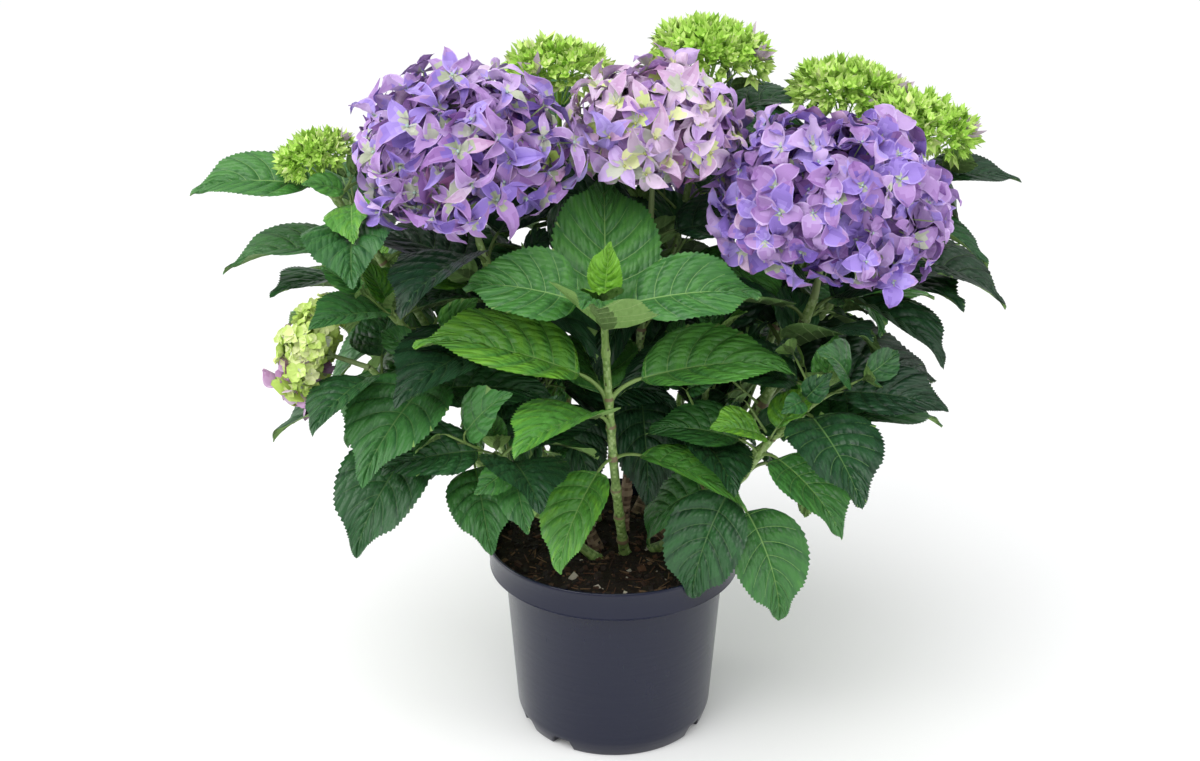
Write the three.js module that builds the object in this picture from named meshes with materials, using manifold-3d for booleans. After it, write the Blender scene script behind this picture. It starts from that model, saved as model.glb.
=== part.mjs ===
// A mophead hydrangea shrub in a round plastic nursery pot.
//
// Frame: millimetres, +Z up, -Y is the front. The origin is the centre of the pot's underside.
// The pot holds a block of compost. Bare stems stand on the compost, and each carries one leafy
// shoot: a tapering twig with opposite pairs of leaves, every pair turned a quarter from the one
// above. A shoot ends in a tuft of young leaves or carries a flower head on a stalk of its own.
import * as THREE from 'three';
import { mergeVertices } from 'three/addons/utils/BufferGeometryUtils.js';
import Module from 'manifold-3d';

const wasm = await Module();
wasm.setup();

// ---------------------------------------------------------------- driving dimensions

const GAP = 0.3; // clearance between neighbouring solids
const MARGIN = 0.6; // clearance round a leaf

const POT = {
  height: 180,
  rimRadius: 115,
  bandHeight: 28, // the collar round the mouth
  bandDraft: 3, // how much narrower the collar is at its foot
  shoulder: 13, // how far the collar stands out from the wall
  footRadius: 85,
  heelHeight: 14, // where the wall turns in to the foot
  heelRadius: 89.5,
  wall: 1.8,
  floorRise: 8, // the floor stands this far above the feet
  bossRadius: 20, // middle pad that touches the ground
  sides: 36,
};

const NOTCH = {
  height: 10.5, // drainage gaps between the feet
  width: 13, // degrees
  wideFeet: 3, // with a small foot between each two
  wideFoot: 76, // degrees
  firstWideFoot: -78, // direction of one wide foot, degrees from +X
};

const DRAIN = { radius: 7, ring: 48, sides: 10 }; // holes through the raised floor

const COMPOST_TOP = 169;

const LEAF = {
  aspect: 0.7, // width over length
  baseRoundness: 0.6, // outline exponents towards the base and the tip
  tipTaper: 0.95,
  sections: [0.15, 0.45, 0.78], // where the blade's cross-sections are, from base to tip
  thickness: 0.02, // at the midrib, over length
  petiole: 0.24, // stalk length over blade length
  petioleRise: 22, // the stalk climbs this much more steeply than the blade
  petioleRadius: 0.016, // over blade length
  fold: 17, // each half of the blade rises this much from the midrib, degrees
  nod: [0.0006, 0.0016], // how far leaves tip outward in x and y, for each millimetre off centre
  nodFront: 0.12, // and towards the front, on every shoot
  nodLoss: 0.15, // how much of its nod each lower pair loses
  sunk: 0.4, // where a stalk starts inside its twig, over the twig's radius
  vary: { turn: 22, length: 0.2, lift: 16, droop: 0.5, roll: 34 }, // full spans of what differs
};

// Leaf pairs from a shoot's top down: distance below the pair above, blade length, how far the
// blade's base points above level, and how far it bends down by its tip.
const TUFT_PAIRS = [
  { gap: 3, length: 46, lift: 62, droop: 12 },
  { gap: 7, length: 98, lift: 16, droop: 26 },
  { gap: 27, length: 132, lift: 28, droop: 22 },
  { gap: 44, length: 140, lift: 20, droop: 28 },
  { gap: 27, length: 118, lift: 6, droop: 44 },
  { gap: 30, length: 108, lift: -14, droop: 40 },
];
const HEAD_PAIRS = [
  { gap: 18, length: 110, lift: 20, droop: 24 },
  { gap: 36, length: 134, lift: 16, droop: 28 },
  { gap: 44, length: 142, lift: 6, droop: 34 },
  { gap: 46, length: 130, lift: -6, droop: 40 },
  { gap: 42, length: 114, lift: -14, droop: 46 },
];
// The nearest shoot's own pairs. Where its two leaves differ, `other` is the second one, and
// `turn` swings a leaf round from its place.
const FRONT_PAIRS = [
  { gap: 3, length: 46, lift: 62, droop: 12 },
  { gap: 7, length: 98, lift: 16, droop: 26 },
  { gap: 27, length: 138, lift: 68, droop: 20, other: { length: 130, lift: 30, droop: 20 } },
  { gap: 40, length: 140, lift: 20, droop: 26 },
  { gap: 27, length: 116, lift: 4, droop: 40, other: { turn: -24, lift: 38, droop: 34 } },
  { gap: 32, length: 104, lift: -30, droop: 50, turn: 66, other: { turn: -8, lift: 6, droop: 30 } },
];
// The lowest shoots' pairs, whose big leaves hang over the pot's rim.
const HANGING_PAIRS = [
  { gap: 4, length: 60, lift: 30, droop: 20 },
  { gap: 14, length: 96, lift: 4, droop: 40 },
  { gap: 26, length: 112, lift: -22, droop: 48 },
  { gap: 26, length: 100, lift: -24, droop: 50 },
];

// A leaf that would touch a neighbour tries again turned, lifted and shortened by these steps.
const TRIES = [
  { turn: 0, lift: 0, scale: 1 },
  { turn: 14, lift: -6, scale: 0.98 },
  { turn: -14, lift: -6, scale: 0.98 },
  { turn: 8, lift: 13, scale: 0.95 },
  { turn: -8, lift: 13, scale: 0.95 },
  { turn: 27, lift: 0, scale: 0.92 },
  { turn: -27, lift: 0, scale: 0.92 },
  { turn: 20, lift: -20, scale: 0.9 },
  { turn: -20, lift: -20, scale: 0.9 },
  { turn: 38, lift: 10, scale: 0.86 },
  { turn: -38, lift: 10, scale: 0.86 },
  { turn: 0, lift: -34, scale: 0.86 },
  { turn: 0, lift: 28, scale: 0.8 },
  { turn: 48, lift: -12, scale: 0.76 },
  { turn: -48, lift: -12, scale: 0.76 },
  { turn: 20, lift: 24, scale: 0.66 },
  { turn: -20, lift: -40, scale: 0.66 },
];

// The shoots. foot is where the stem leaves the compost, or `on` and `at` name the stem it
// branches from and how far up. tip is the shoot's top, bow bends it out first and then up, bare
// is the leafless share of its length, turn is the direction of its top pair of leaves, nod tips
// its leaves, own gives it other leaf pairs, and radius is at the foot. An early shoot's leaves
// find room before all others. A head gives its kind, width, stalk and lean.
const SHOOTS = [
  { name: 'front', foot: [10, -16], tip: [-10, -102, 430], bow: 0.14, bare: 0.38, turn: 86,
    own: FRONT_PAIRS, pairs: 6, size: 1, radius: 4.6, early: true, nod: [0, -0.62] },
  { name: 'left', foot: [-16, -2], tip: [-112, -24, 458], bow: 0, bare: 0.36, turn: 250,
    pairs: 4, size: 1.02, radius: 5,
    head: { kind: 'bloom', width: 176, stalk: 24, lean: [-0.1, -0.22] } },
  { name: 'right', foot: [38, 20], tip: [166, -20, 408], bow: 0.12, bare: 0.44, turn: 20,
    pairs: 4, size: 1.02, radius: 6,
    head: { kind: 'bloom', width: 200, stalk: 22, lean: [0.12, -0.2] } },
  { name: 'middle', foot: [8, 26], tip: [30, 14, 462], bow: 0, bare: 0.44, turn: 170,
    pairs: 4, size: 0.98, radius: 5,
    head: { kind: 'bloom', width: 152, stalk: 34, lean: [0.02, -0.12] } },
  { name: 'left_middle', on: 'left', at: 0.24, tip: [-184, -44, 402], bow: 0.02, bare: 0.44,
    turn: 140, pairs: 5, size: 0.9, radius: 4.2 },
  { name: 'right_middle', on: 'right', at: 0.26, tip: [172, -66, 340], bow: 0.02, bare: 0.4,
    turn: 80, pairs: 4, size: 0.88, radius: 3.8 },
  { name: 'left_upper', on: 'left_side', at: 0.3, tip: [-240, 8, 496], bow: -0.04, bare: 0.42,
    turn: 190, pairs: 5, size: 0.86, radius: 4.6,
    head: { kind: 'buds', width: 60, stalk: 22, lean: [-0.3, 0] } },
  { name: 'left_low', foot: [-14, -26], tip: [-202, -62, 362], bow: 0.02, bare: 0.46, turn: 250,
    pairs: 4, size: 0.84, radius: 4.2,
    head: { kind: 'opening', width: 96, stalk: 26, lean: [-3, 0.15] } },
  { name: 'left_bottom', on: 'left_low', at: 0.2, tip: [-98, -96, 300], bow: -0.05, bare: 0.42,
    turn: 100, pairs: 4, size: 0.78, radius: 3.6 },
  { name: 'right_low', foot: [34, -8], tip: [128, -76, 304], bow: 0.1, bare: 0.5, turn: 42,
    own: HANGING_PAIRS, pairs: 4, size: 1, radius: 4.4 },
  { name: 'right_upper', foot: [44, 44], tip: [252, 56, 494], bow: 0.06, bare: 0.46, turn: 10,
    pairs: 5, size: 0.86, radius: 4.6,
    head: { kind: 'buds', width: 92, stalk: 34, lean: [0.22, 0.06] } },
  { name: 'right_back', on: 'right_upper', at: 0.26, tip: [200, 104, 514], bow: 0.05, bare: 0.42,
    turn: 60, pairs: 5, size: 0.92, radius: 4.4,
    head: { kind: 'buds', width: 96, stalk: 34, lean: [0.1, 0] } },
  { name: 'back_left_upper', foot: [-16, 46], tip: [-48, 78, 530], bow: 0, bare: 0.46, turn: 120,
    pairs: 5, size: 0.9, radius: 4.4,
    head: { kind: 'buds', width: 80, stalk: 44, lean: [0, -0.05] } },
  { name: 'back_right_upper', on: 'middle', at: 0.26, tip: [78, 94, 540], bow: 0, bare: 0.46,
    turn: 30, pairs: 5, size: 0.9, radius: 4.4,
    head: { kind: 'buds', width: 96, stalk: 44, lean: [0.05, -0.1] } },
  { name: 'inner_left', on: 'left', at: 0.14, tip: [-88, 6, 388], bow: 0, bare: 0.46, turn: 60,
    pairs: 5, size: 0.86, radius: 4 },
  { name: 'inner_right', on: 'right_low', at: 0.2, tip: [84, -22, 372], bow: 0.04, bare: 0.46,
    turn: 150, pairs: 5, size: 0.86, radius: 4 },
  { name: 'inner_back', on: 'back_left_upper', at: 0.22, tip: [28, 110, 436], bow: 0.02,
    bare: 0.46, turn: 70, pairs: 5, size: 0.9, radius: 4 },
  { name: 'back_left', foot: [-40, 56], tip: [-142, 172, 392], bow: 0.04, bare: 0.42, turn: 70,
    pairs: 4, size: 0.98, radius: 4.8,
    head: { kind: 'bloom', width: 160, stalk: 24, lean: [-0.2, 0.4] } },
  { name: 'back_right', foot: [22, 66], tip: [112, 176, 388], bow: 0.04, bare: 0.42, turn: 20,
    pairs: 4, size: 0.98, radius: 4.8,
    head: { kind: 'bloom', width: 168, stalk: 24, lean: [0.2, 0.4] } },
  { name: 'back', on: 'back_left', at: 0.2, tip: [-14, 194, 366], bow: 0.06, bare: 0.4, turn: 90,
    pairs: 5, size: 0.9, radius: 4 },
  { name: 'left_side', foot: [-38, 18], tip: [-222, 112, 384], bow: 0.02, bare: 0.44, turn: 60,
    pairs: 5, size: 0.94, radius: 4.2 },
  { name: 'right_side', on: 'back_right', at: 0.2, tip: [228, 128, 380], bow: 0.04, bare: 0.44,
    turn: 120, pairs: 5, size: 0.94, radius: 4.2 },
];

const TWIG = {
  taper: 0.62, // radius at the tip over radius at the foot
  flare: 0.55, // extra radius where a stem leaves the compost
  flareLength: 7,
  stemSides: 6,
  leafySides: 4,
  span: 34, // length of one step along a stem
  seatSteps: 12,
  leafless: 0.02, // share of a shoot kept bare of leaves at the foot of its leafy part
};

// Flower heads. Each is a dome of florets or buds, with a net of `sides` by `steps` points whose
// low points lie `lump` inside it. height and under are the dome's height over its half width,
// and the depth of its underside over that height. rays fork off the stalk at `fork`.
const HEADS = {
  bloom: { sides: 22, steps: 9, lump: 0.08, height: 0.84, under: 0.72, rays: 0, fork: 0.6 },
  buds: { sides: 14, steps: 5, lump: 0.16, height: 0.42, under: 0.4, rays: 4, fork: 0.35 },
  opening: { sides: 14, steps: 7, lump: 0.14, height: 0.62, under: 0.6, rays: 0, fork: 0.5 },
};

const LUMPS = { pit: 1.6, peak: 0.6, shift: 0.3 }; // spans of a dome's points over its `lump`
const RAY = { reach: 0.62, radius: 0.5 }; // over the head's half width, and its stalk's radius

const WOODY = 4.7; // a stem thicker than this has brown bark

const COLOURS = {
  pot: 0x32354a,
  compost: 0x2a1c14,
  wood: 0x7a5a3c,
  green: 0x7f9c4e,
  leaf: 0x2f6b2c,
  bloom: 0x9a76d6,
  buds: 0xa6cf4a,
};

// ---------------------------------------------------------------- small tools

const rad = THREE.MathUtils.degToRad;
const up = new THREE.Vector3(0, 0, 1);
const point = (x, y, z) => new THREE.Vector3(x, y, z);

// A repeatable stream of numbers from 0 to 1.
function draws(seed) {
  let state = seed;
  return () => {
    state = (state * 1664525 + 1013904223) % 4294967296;
    return state / 4294967296;
  };
}

// Turns a closed three.js geometry into a manifold-3d solid.
function solidOf(geometry) {
  const bare = new THREE.BufferGeometry().setAttribute('position', geometry.getAttribute('position'));
  bare.setIndex(geometry.index);
  const merged = mergeVertices(bare, 1e-4);
  return new wasm.Manifold(new wasm.Mesh({
    numProp: 3,
    vertProperties: merged.attributes.position.array,
    triVerts: new Uint32Array(merged.index.array),
  }));
}

// The largest body of a solid that a cut has left in pieces.
function largest(solid) {
  return solid.decompose().sort((a, b) => b.volume() - a.volume())[0];
}

// Turns a manifold-3d solid back into a three.js geometry.
function geometryOf(solid) {
  const mesh = solid.getMesh();
  const places = new Float32Array(mesh.numVert * 3);
  for (let i = 0; i < mesh.numVert; i++) {
    places.set(mesh.vertProperties.subarray(i * mesh.numProp, i * mesh.numProp + 3), i * 3);
  }
  const geometry = new THREE.BufferGeometry();
  geometry.setAttribute('position', new THREE.BufferAttribute(places, 3));
  geometry.setIndex(new THREE.BufferAttribute(new Uint32Array(mesh.triVerts), 1));
  geometry.computeVertexNormals();
  return geometry;
}

// A closed skin over rings of points, each ring running anticlockwise as seen from the next one.
// A ring of one point closes an end; any other end gets a flat cap. A lumpy skin folds its squares
// by turns, so that each odd point of its net is a peak or a pit.
function skin(rings, lumpy = false) {
  const places = rings.flatMap((ring) => ring.flatMap((p) => [p.x, p.y, p.z]));
  const starts = rings.map((_, i) => rings.slice(0, i).reduce((n, ring) => n + ring.length, 0));
  const faces = [];
  const sides = Math.max(...rings.map((ring) => ring.length));
  for (let i = 0; i + 1 < rings.length; i++) {
    const [low, high] = [rings[i], rings[i + 1]];
    for (let j = 0; j < sides; j++) {
      const k = (j + 1) % sides;
      const a = starts[i] + (low.length > 1 ? j : 0);
      const b = starts[i] + (low.length > 1 ? k : 0);
      const c = starts[i + 1] + (high.length > 1 ? k : 0);
      const d = starts[i + 1] + (high.length > 1 ? j : 0);
      const turned = lumpy && (i + j) % 2 === 0 && a !== b && c !== d;
      if (turned) faces.push(a, b, d, b, c, d);
      else {
        if (a !== b) faces.push(a, b, c);
        if (c !== d) faces.push(a, c, d);
      }
    }
  }
  const cap = (ring, start, flip) => {
    for (let j = 1; j + 1 < ring.length; j++) {
      faces.push(start, start + (flip ? j + 1 : j), start + (flip ? j : j + 1));
    }
  };
  cap(rings[0], starts[0], true);
  cap(rings.at(-1), starts.at(-1), false);
  const geometry = new THREE.BufferGeometry();
  geometry.setAttribute('position', new THREE.Float32BufferAttribute(places, 3));
  geometry.setIndex(faces);
  return geometry;
}

// A ring of points square to `along`, counted from the side that faces away from `reference`.
function ringAt(centre, along, radius, sides, reference) {
  const across = new THREE.Vector3().crossVectors(reference, along).normalize();
  const other = new THREE.Vector3().crossVectors(along, across);
  return Array.from({ length: sides }, (_, i) => {
    const angle = (2 * Math.PI * i) / sides;
    return centre.clone()
      .addScaledVector(across, radius * Math.cos(angle))
      .addScaledVector(other, radius * Math.sin(angle));
  });
}

// A tapering limb along part of a curve.
function limb(curve, from, to, radiusAt, sides, steps) {
  const reference = Math.abs(curve.getTangent(from).y) > 0.9 ? point(1, 0, 0) : point(0, 1, 0);
  const rings = [];
  for (let i = 0; i <= steps; i++) {
    const t = from + ((to - from) * i) / steps;
    rings.push(ringAt(curve.getPoint(t), curve.getTangent(t), radiusAt(t), sides, reference));
  }
  return solidOf(skin(rings));
}

// ---------------------------------------------------------------- pot and compost

function potWallRadius(z) {
  const top = POT.height - POT.bandHeight;
  const wide = POT.rimRadius - POT.bandDraft - POT.shoulder;
  return POT.heelRadius + ((wide - POT.heelRadius) * (z - POT.heelHeight)) / (top - POT.heelHeight);
}

// One gap between two feet, wide enough to cut through the heel of the wall.
function notchAt(direction) {
  const half = rad(NOTCH.width / 2);
  const reach = POT.rimRadius;
  const near = POT.footRadius - 13;
  const outline = new THREE.Shape([
    new THREE.Vector2(near * Math.cos(half), -near * Math.sin(half)),
    new THREE.Vector2(reach * Math.cos(half), -reach * Math.sin(half)),
    new THREE.Vector2(reach * Math.cos(half), reach * Math.sin(half)),
    new THREE.Vector2(near * Math.cos(half), near * Math.sin(half)),
  ]);
  const block = new THREE.ExtrudeGeometry(outline, { depth: NOTCH.height + 2, bevelEnabled: false });
  return solidOf(block.translate(0, 0, -2).rotateZ(rad(direction)));
}

function drainAt(direction) {
  const hole = new THREE.CylinderGeometry(DRAIN.radius, DRAIN.radius, 4 * POT.wall, DRAIN.sides);
  hole.rotateX(Math.PI / 2).translate(DRAIN.ring, 0, POT.floorRise + POT.wall / 2);
  return solidOf(hole.rotateZ(rad(direction)));
}

function makePot() {
  const { height, rimRadius, bandHeight, bandDraft, wall, floorRise, bossRadius, footRadius } = POT;
  const bandFoot = height - bandHeight;
  const profile = [
    [0, 0],
    [bossRadius, 0],
    [bossRadius + 3, floorRise],
    [footRadius - 11, floorRise],
    [footRadius - 8, 0],
    [footRadius, 0],
    [POT.heelRadius, POT.heelHeight],
    [potWallRadius(bandFoot), bandFoot],
    [rimRadius - bandDraft, bandFoot + 2],
    [rimRadius, height - 2],
    [rimRadius - 1, height],
    [rimRadius - wall - 0.6, height],
    [rimRadius - bandDraft - wall, bandFoot + 2 + wall],
    [potWallRadius(bandFoot) - wall, bandFoot + wall],
    [POT.heelRadius - wall, POT.heelHeight],
    [footRadius - 4, floorRise + wall],
    [0, floorRise + wall],
  ].map(([r, z]) => new THREE.Vector2(r, z));
  let pot = solidOf(new THREE.LatheGeometry(profile, POT.sides).rotateX(Math.PI / 2));
  const offset = (NOTCH.wideFoot + NOTCH.width) / 2;
  for (let i = 0; i < NOTCH.wideFeet; i++) {
    const wide = NOTCH.firstWideFoot + (360 / NOTCH.wideFeet) * i;
    pot = pot.subtract(notchAt(wide - offset)).subtract(notchAt(wide + offset)).subtract(drainAt(wide));
  }
  return pot;
}

function makeCompost() {
  const bandFoot = POT.height - POT.bandHeight;
  const inset = POT.wall + GAP + 0.2;
  const profile = [
    [0, POT.floorRise + POT.wall + GAP],
    [POT.footRadius - 5 - GAP, POT.floorRise + POT.wall + GAP],
    [POT.heelRadius - inset, POT.heelHeight + 1],
    [potWallRadius(bandFoot) - inset, bandFoot + POT.wall + GAP],
    [POT.rimRadius - POT.bandDraft - inset - 0.5, bandFoot + 2 + POT.wall + GAP + 0.2],
    [POT.rimRadius - POT.bandDraft - inset, COMPOST_TOP],
    [0, COMPOST_TOP],
  ].map(([r, z]) => new THREE.Vector2(r, z));
  return solidOf(new THREE.LatheGeometry(profile, POT.sides).rotateX(Math.PI / 2));
}

// ---------------------------------------------------------------- shoots and their leaves

// The line that a shoot's stem follows, from its foot to its top.
function lineOf(shoot) {
  const { parent } = shoot;
  const foot = parent
    ? parent.line.getPoint(shoot.at)
    : point(...shoot.foot, COMPOST_TOP - shoot.radius);
  const tip = point(...shoot.tip);
  const middle = point(
    THREE.MathUtils.lerp(foot.x, tip.x, 0.5 + shoot.bow),
    THREE.MathUtils.lerp(foot.y, tip.y, 0.5 + shoot.bow),
    THREE.MathUtils.lerp(foot.z, tip.z, 0.5 - shoot.bow),
  );
  return new THREE.QuadraticBezierCurve3(foot, middle, tip);
}

// The length of a line, as the sum of equal steps of its own measure.
function lengthOf(line) {
  const steps = 24;
  let total = 0;
  for (let i = 0; i < steps; i++) {
    total += line.getPoint(i / steps).distanceTo(line.getPoint((i + 1) / steps));
  }
  return total;
}

function stemRadius(shoot, t) {
  const flare = shoot.on ? 0 : TWIG.flare * Math.exp((-t * shoot.length) / TWIG.flareLength);
  return shoot.radius * (1 - (1 - TWIG.taper) * t + flare);
}

// Half the blade's width at s, from 0 at its base to 1 at its tip, over its greatest half width.
function outline(s) {
  const { baseRoundness: a, tipTaper: b } = LEAF;
  const widest = a / (a + b);
  return (s ** a * (1 - s) ** b) / (widest ** a * (1 - widest) ** b);
}

// The frame of a pair of leaves: its axis nods outward to the light, the upper pairs' the most.
function leafFrame(shoot, row) {
  const [x, y] = shoot.tip;
  const nod = (shoot.nod ?? [x * LEAF.nod[0], y * LEAF.nod[1] - LEAF.nodFront])
    .map((off) => off * (1 - LEAF.nodLoss * row));
  const axis = point(nod[0], nod[1], 1).normalize();
  const other = new THREE.Vector3().crossVectors(axis, point(1, 0, 0)).normalize();
  const across = new THREE.Vector3().crossVectors(other, axis);
  return { axis, across, other };
}

// The places and directions that shape one leaf. `numbers` are its five draws, and `step` is the
// try that it makes to find room.
function leafPlan(shoot, both, row, side, numbers, step) {
  const pair = side ? { ...both, ...both.other } : both;
  const { axis, across, other } = leafFrame(shoot, row);
  const t = 1 - shoot.below / shoot.length;
  const { vary } = LEAF;
  const [turn, long, raise, bend, twist] = numbers.map((number) => number - 0.5);
  const facing = shoot.turn + 90 * row + 180 * side + (pair.turn ?? 0);
  const azimuth = rad(facing + vary.turn * turn + step.turn);
  const flat = across.clone().multiplyScalar(Math.cos(azimuth)).addScaledVector(other, Math.sin(azimuth));
  const level = new THREE.Vector3().crossVectors(axis, flat);
  const blade = pair.length * shoot.size * (1 + vary.length * long) * step.scale;
  const lift = rad(pair.lift + vary.lift * raise + step.lift);
  const droop = rad(pair.droop * (1 + vary.droop * bend));
  const roll = rad(vary.roll * twist);
  const start = shoot.line.getPoint(t).addScaledVector(flat, LEAF.sunk * stemRadius(shoot, t));
  return { start, axis, flat, level, blade, lift, droop, roll };
}

// The point at s on a leaf's midrib, with the directions across and out of the blade.
function midrib(plan, s) {
  const { axis, flat, level, blade, lift, droop, roll } = plan;
  const rise = lift + rad(LEAF.petioleRise);
  const stalk = blade * LEAF.petiole;
  const pitch = lift - droop * s;
  const out = stalk * Math.cos(rise) + (blade * (Math.sin(lift) - Math.sin(pitch))) / droop;
  const climb = stalk * Math.sin(rise) + (blade * (Math.cos(pitch) - Math.cos(lift))) / droop;
  const place = plan.start.clone().addScaledVector(flat, out).addScaledVector(axis, climb);
  const face = axis.clone().multiplyScalar(Math.cos(pitch)).addScaledVector(flat, -Math.sin(pitch));
  const across = level.clone().multiplyScalar(Math.cos(roll)).addScaledVector(face, Math.sin(roll));
  const normal = face.clone().multiplyScalar(Math.cos(roll)).addScaledVector(level, -Math.sin(roll));
  return { place, across, normal };
}

// A leaf and its stalk as one skin over four-cornered sections: two edges, the midrib's top and
// its underside. `extra` thickens it, for finding neighbours that it would touch.
function leafSolid(plan, extra, stalked) {
  const stalkRadius = plan.blade * LEAF.petioleRadius + extra;
  const section = ({ place, across, normal }, half, rise, thick) => [
    place.clone().addScaledVector(across, half).addScaledVector(normal, rise),
    place.clone().addScaledVector(normal, thick),
    place.clone().addScaledVector(across, -half).addScaledVector(normal, rise),
    place.clone().addScaledVector(normal, -thick),
  ];
  const base = midrib(plan, 0);
  const rings = [section(base, stalkRadius, 0, stalkRadius)];
  if (stalked) rings.unshift(section({ ...base, place: plan.start }, stalkRadius, 0, stalkRadius));
  const thick = (plan.blade * LEAF.thickness) / 2 + extra;
  for (const s of LEAF.sections) {
    const half = (plan.blade * LEAF.aspect * outline(s)) / 2 + extra;
    const [wide, high] = [half * Math.cos(rad(LEAF.fold)), half * Math.sin(rad(LEAF.fold))];
    rings.push(section(midrib(plan, s), wide, high, thick * (1 - 0.5 * s)));
  }
  rings.push([midrib(plan, 1 + extra / plan.blade).place]);
  return solidOf(skin(rings));
}

// ---------------------------------------------------------------- flower heads

// The frame of a head: the foot and top of its stalk, and its dome's axis.
function headFrame({ head, line }) {
  const axis = point(...head.lean, 1).normalize();
  const foot = line.getPoint(1).addScaledVector(line.getTangent(1), GAP);
  const top = foot.clone().addScaledVector(axis, head.stalk);
  const across = new THREE.Vector3().crossVectors(point(0, 1, 0), axis).normalize();
  const other = new THREE.Vector3().crossVectors(axis, across);
  return { foot, top, axis, across, other };
}

// A direction on the dome, from its pole down by `polar` and round by `turn`.
function domeDirection({ axis, across, other }, polar, turn) {
  return axis.clone().multiplyScalar(Math.cos(polar))
    .addScaledVector(across, Math.sin(polar) * Math.cos(turn))
    .addScaledVector(other, Math.sin(polar) * Math.sin(turn));
}

// The flowers as one lumpy dome: every second point of its net stands out, as a floret does.
function lumpyDome(frame, centre, radius, style, draw) {
  const { sides, steps, lump } = style;
  const height = radius * style.height;
  const rings = [];
  for (let i = 0; i <= steps; i++) {
    const polar = Math.PI * (1 - i / steps);
    const pole = i === 0 || i === steps;
    rings.push(Array.from({ length: pole ? 1 : sides }, (_, j) => {
      const turn = (2 * Math.PI * (j + LUMPS.shift * (draw() - 0.5))) / sides;
      const reach = 1 - lump * ((i + j) % 2 && !pole ? LUMPS.pit : LUMPS.peak * draw());
      const outward = domeDirection(frame, polar, turn);
      const upward = outward.dot(frame.axis);
      const flat = outward.clone().addScaledVector(frame.axis, -upward);
      const tall = height * (upward < 0 ? style.under : 1);
      return centre.clone().addScaledVector(flat, radius * reach)
        .addScaledVector(frame.axis, upward * tall * reach);
    }));
  }
  return solidOf(skin(rings, true));
}

// A head on its stalk, with rays from the stalk to a flat head's rim.
function makeHead(shoot, seed) {
  const { head } = shoot;
  const frame = headFrame(shoot);
  const style = HEADS[head.kind];
  const radius = head.width / 2;
  const centre = frame.top.clone().addScaledVector(frame.axis, radius * style.height * style.under);
  const stalkRadius = shoot.radius * TWIG.taper * 0.92;
  const bend = point(0, 1, 0);
  let solid = solidOf(skin([
    ringAt(frame.foot, shoot.line.getTangent(1), stalkRadius, 4, bend),
    ringAt(frame.top, frame.axis, stalkRadius, 4, bend),
    ringAt(centre, frame.axis, stalkRadius, 4, bend),
  ]));
  solid = solid.add(lumpyDome(frame, centre, radius, style, draws(seed)));
  for (let i = 0; i < style.rays; i++) {
    const outward = domeDirection(frame, rad(90), (2 * Math.PI * (i + 0.5)) / style.rays);
    const edge = centre.clone().addScaledVector(outward, radius * RAY.reach);
    const fork = frame.foot.clone().lerp(frame.top, style.fork);
    solid = solid.add(limb(new THREE.LineCurve3(fork, edge), 0, 1, () => stalkRadius * RAY.radius, 3, 1));
  }
  return solid;
}

// ---------------------------------------------------------------- growing the whole plant

const plant = new THREE.Group();

function place(name, solid, colour, roughness) {
  const material = new THREE.MeshStandardMaterial({ color: colour, roughness, metalness: 0 });
  const mesh = new THREE.Mesh(geometryOf(solid), material);
  mesh.name = name;
  plant.add(mesh);
}

// Everything that stands already, so that a later leaf can keep clear of it.
const standing = [];

function stand(owner, solid) {
  standing.push({ owner, solid, box: solid.boundingBox() });
}

const apart = (a, b) => [0, 1, 2].some((i) => a.max[i] < b.min[i] || b.max[i] < a.min[i]);

// Whether a leaf would touch what stands. Only its blade has to clear its own shoot.
function touches(plan, owner) {
  const [whole, blade] = [leafSolid(plan, MARGIN, true), leafSolid(plan, MARGIN, false)];
  const box = whole.boundingBox();
  return standing.some((other) => !apart(box, other.box)
    && (other.owner === owner ? blade : whole).intersect(other.solid).volume() > 0);
}

const pot = makePot();
const compost = makeCompost();
stand('pot', pot);
stand('compost', compost);
place('pot', pot, COLOURS.pot, 0.45);
place('compost', compost, COLOURS.compost, 0.95);

for (const branches of [false, true]) {
  for (const shoot of SHOOTS.filter(({ on }) => Boolean(on) === branches)) {
    shoot.parent = SHOOTS.find(({ name }) => name === shoot.on);
    shoot.line = lineOf(shoot);
    shoot.length = lengthOf(shoot.line);
  }
}

// The stems, twigs and heads come first, and the leaves then find room between them.
SHOOTS.forEach((shoot, index) => {
  const { name, parent, line, length, bare, head } = shoot;
  const radiusAt = (t) => stemRadius(shoot, t);
  const steps = (share) => Math.max(2, Math.round((share * length) / TWIG.span));
  let stem = limb(line, 0, bare, radiusAt, TWIG.stemSides, steps(bare));
  if (parent) {
    const seatRadius = (t) => stemRadius(parent, t) + GAP;
    const seat = limb(parent.line, 0, 1, seatRadius, TWIG.stemSides, TWIG.seatSteps);
    stem = largest(stem.subtract(seat));
  } else stem = stem.trimByPlane([0, 0, 1], COMPOST_TOP + GAP);
  shoot.mass = limb(line, bare + GAP / length, 1, radiusAt, TWIG.leafySides, steps(1 - bare));
  stand(`stem_${name}`, stem);
  stand(`leaves_${name}`, shoot.mass);
  place(`stem_${name}`, stem, shoot.radius > WOODY ? COLOURS.wood : COLOURS.green, 0.7);
  if (head) {
    const solid = makeHead(shoot, 1000 + index);
    const kind = head.kind === 'bloom' ? 'bloom' : 'buds';
    stand(`${kind}_${name}`, solid);
    place(`${kind}_${name}`, solid, COLOURS[kind], 0.6);
  }
  shoot.draw = draws(index + 1);
  shoot.below = 0;
});

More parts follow.
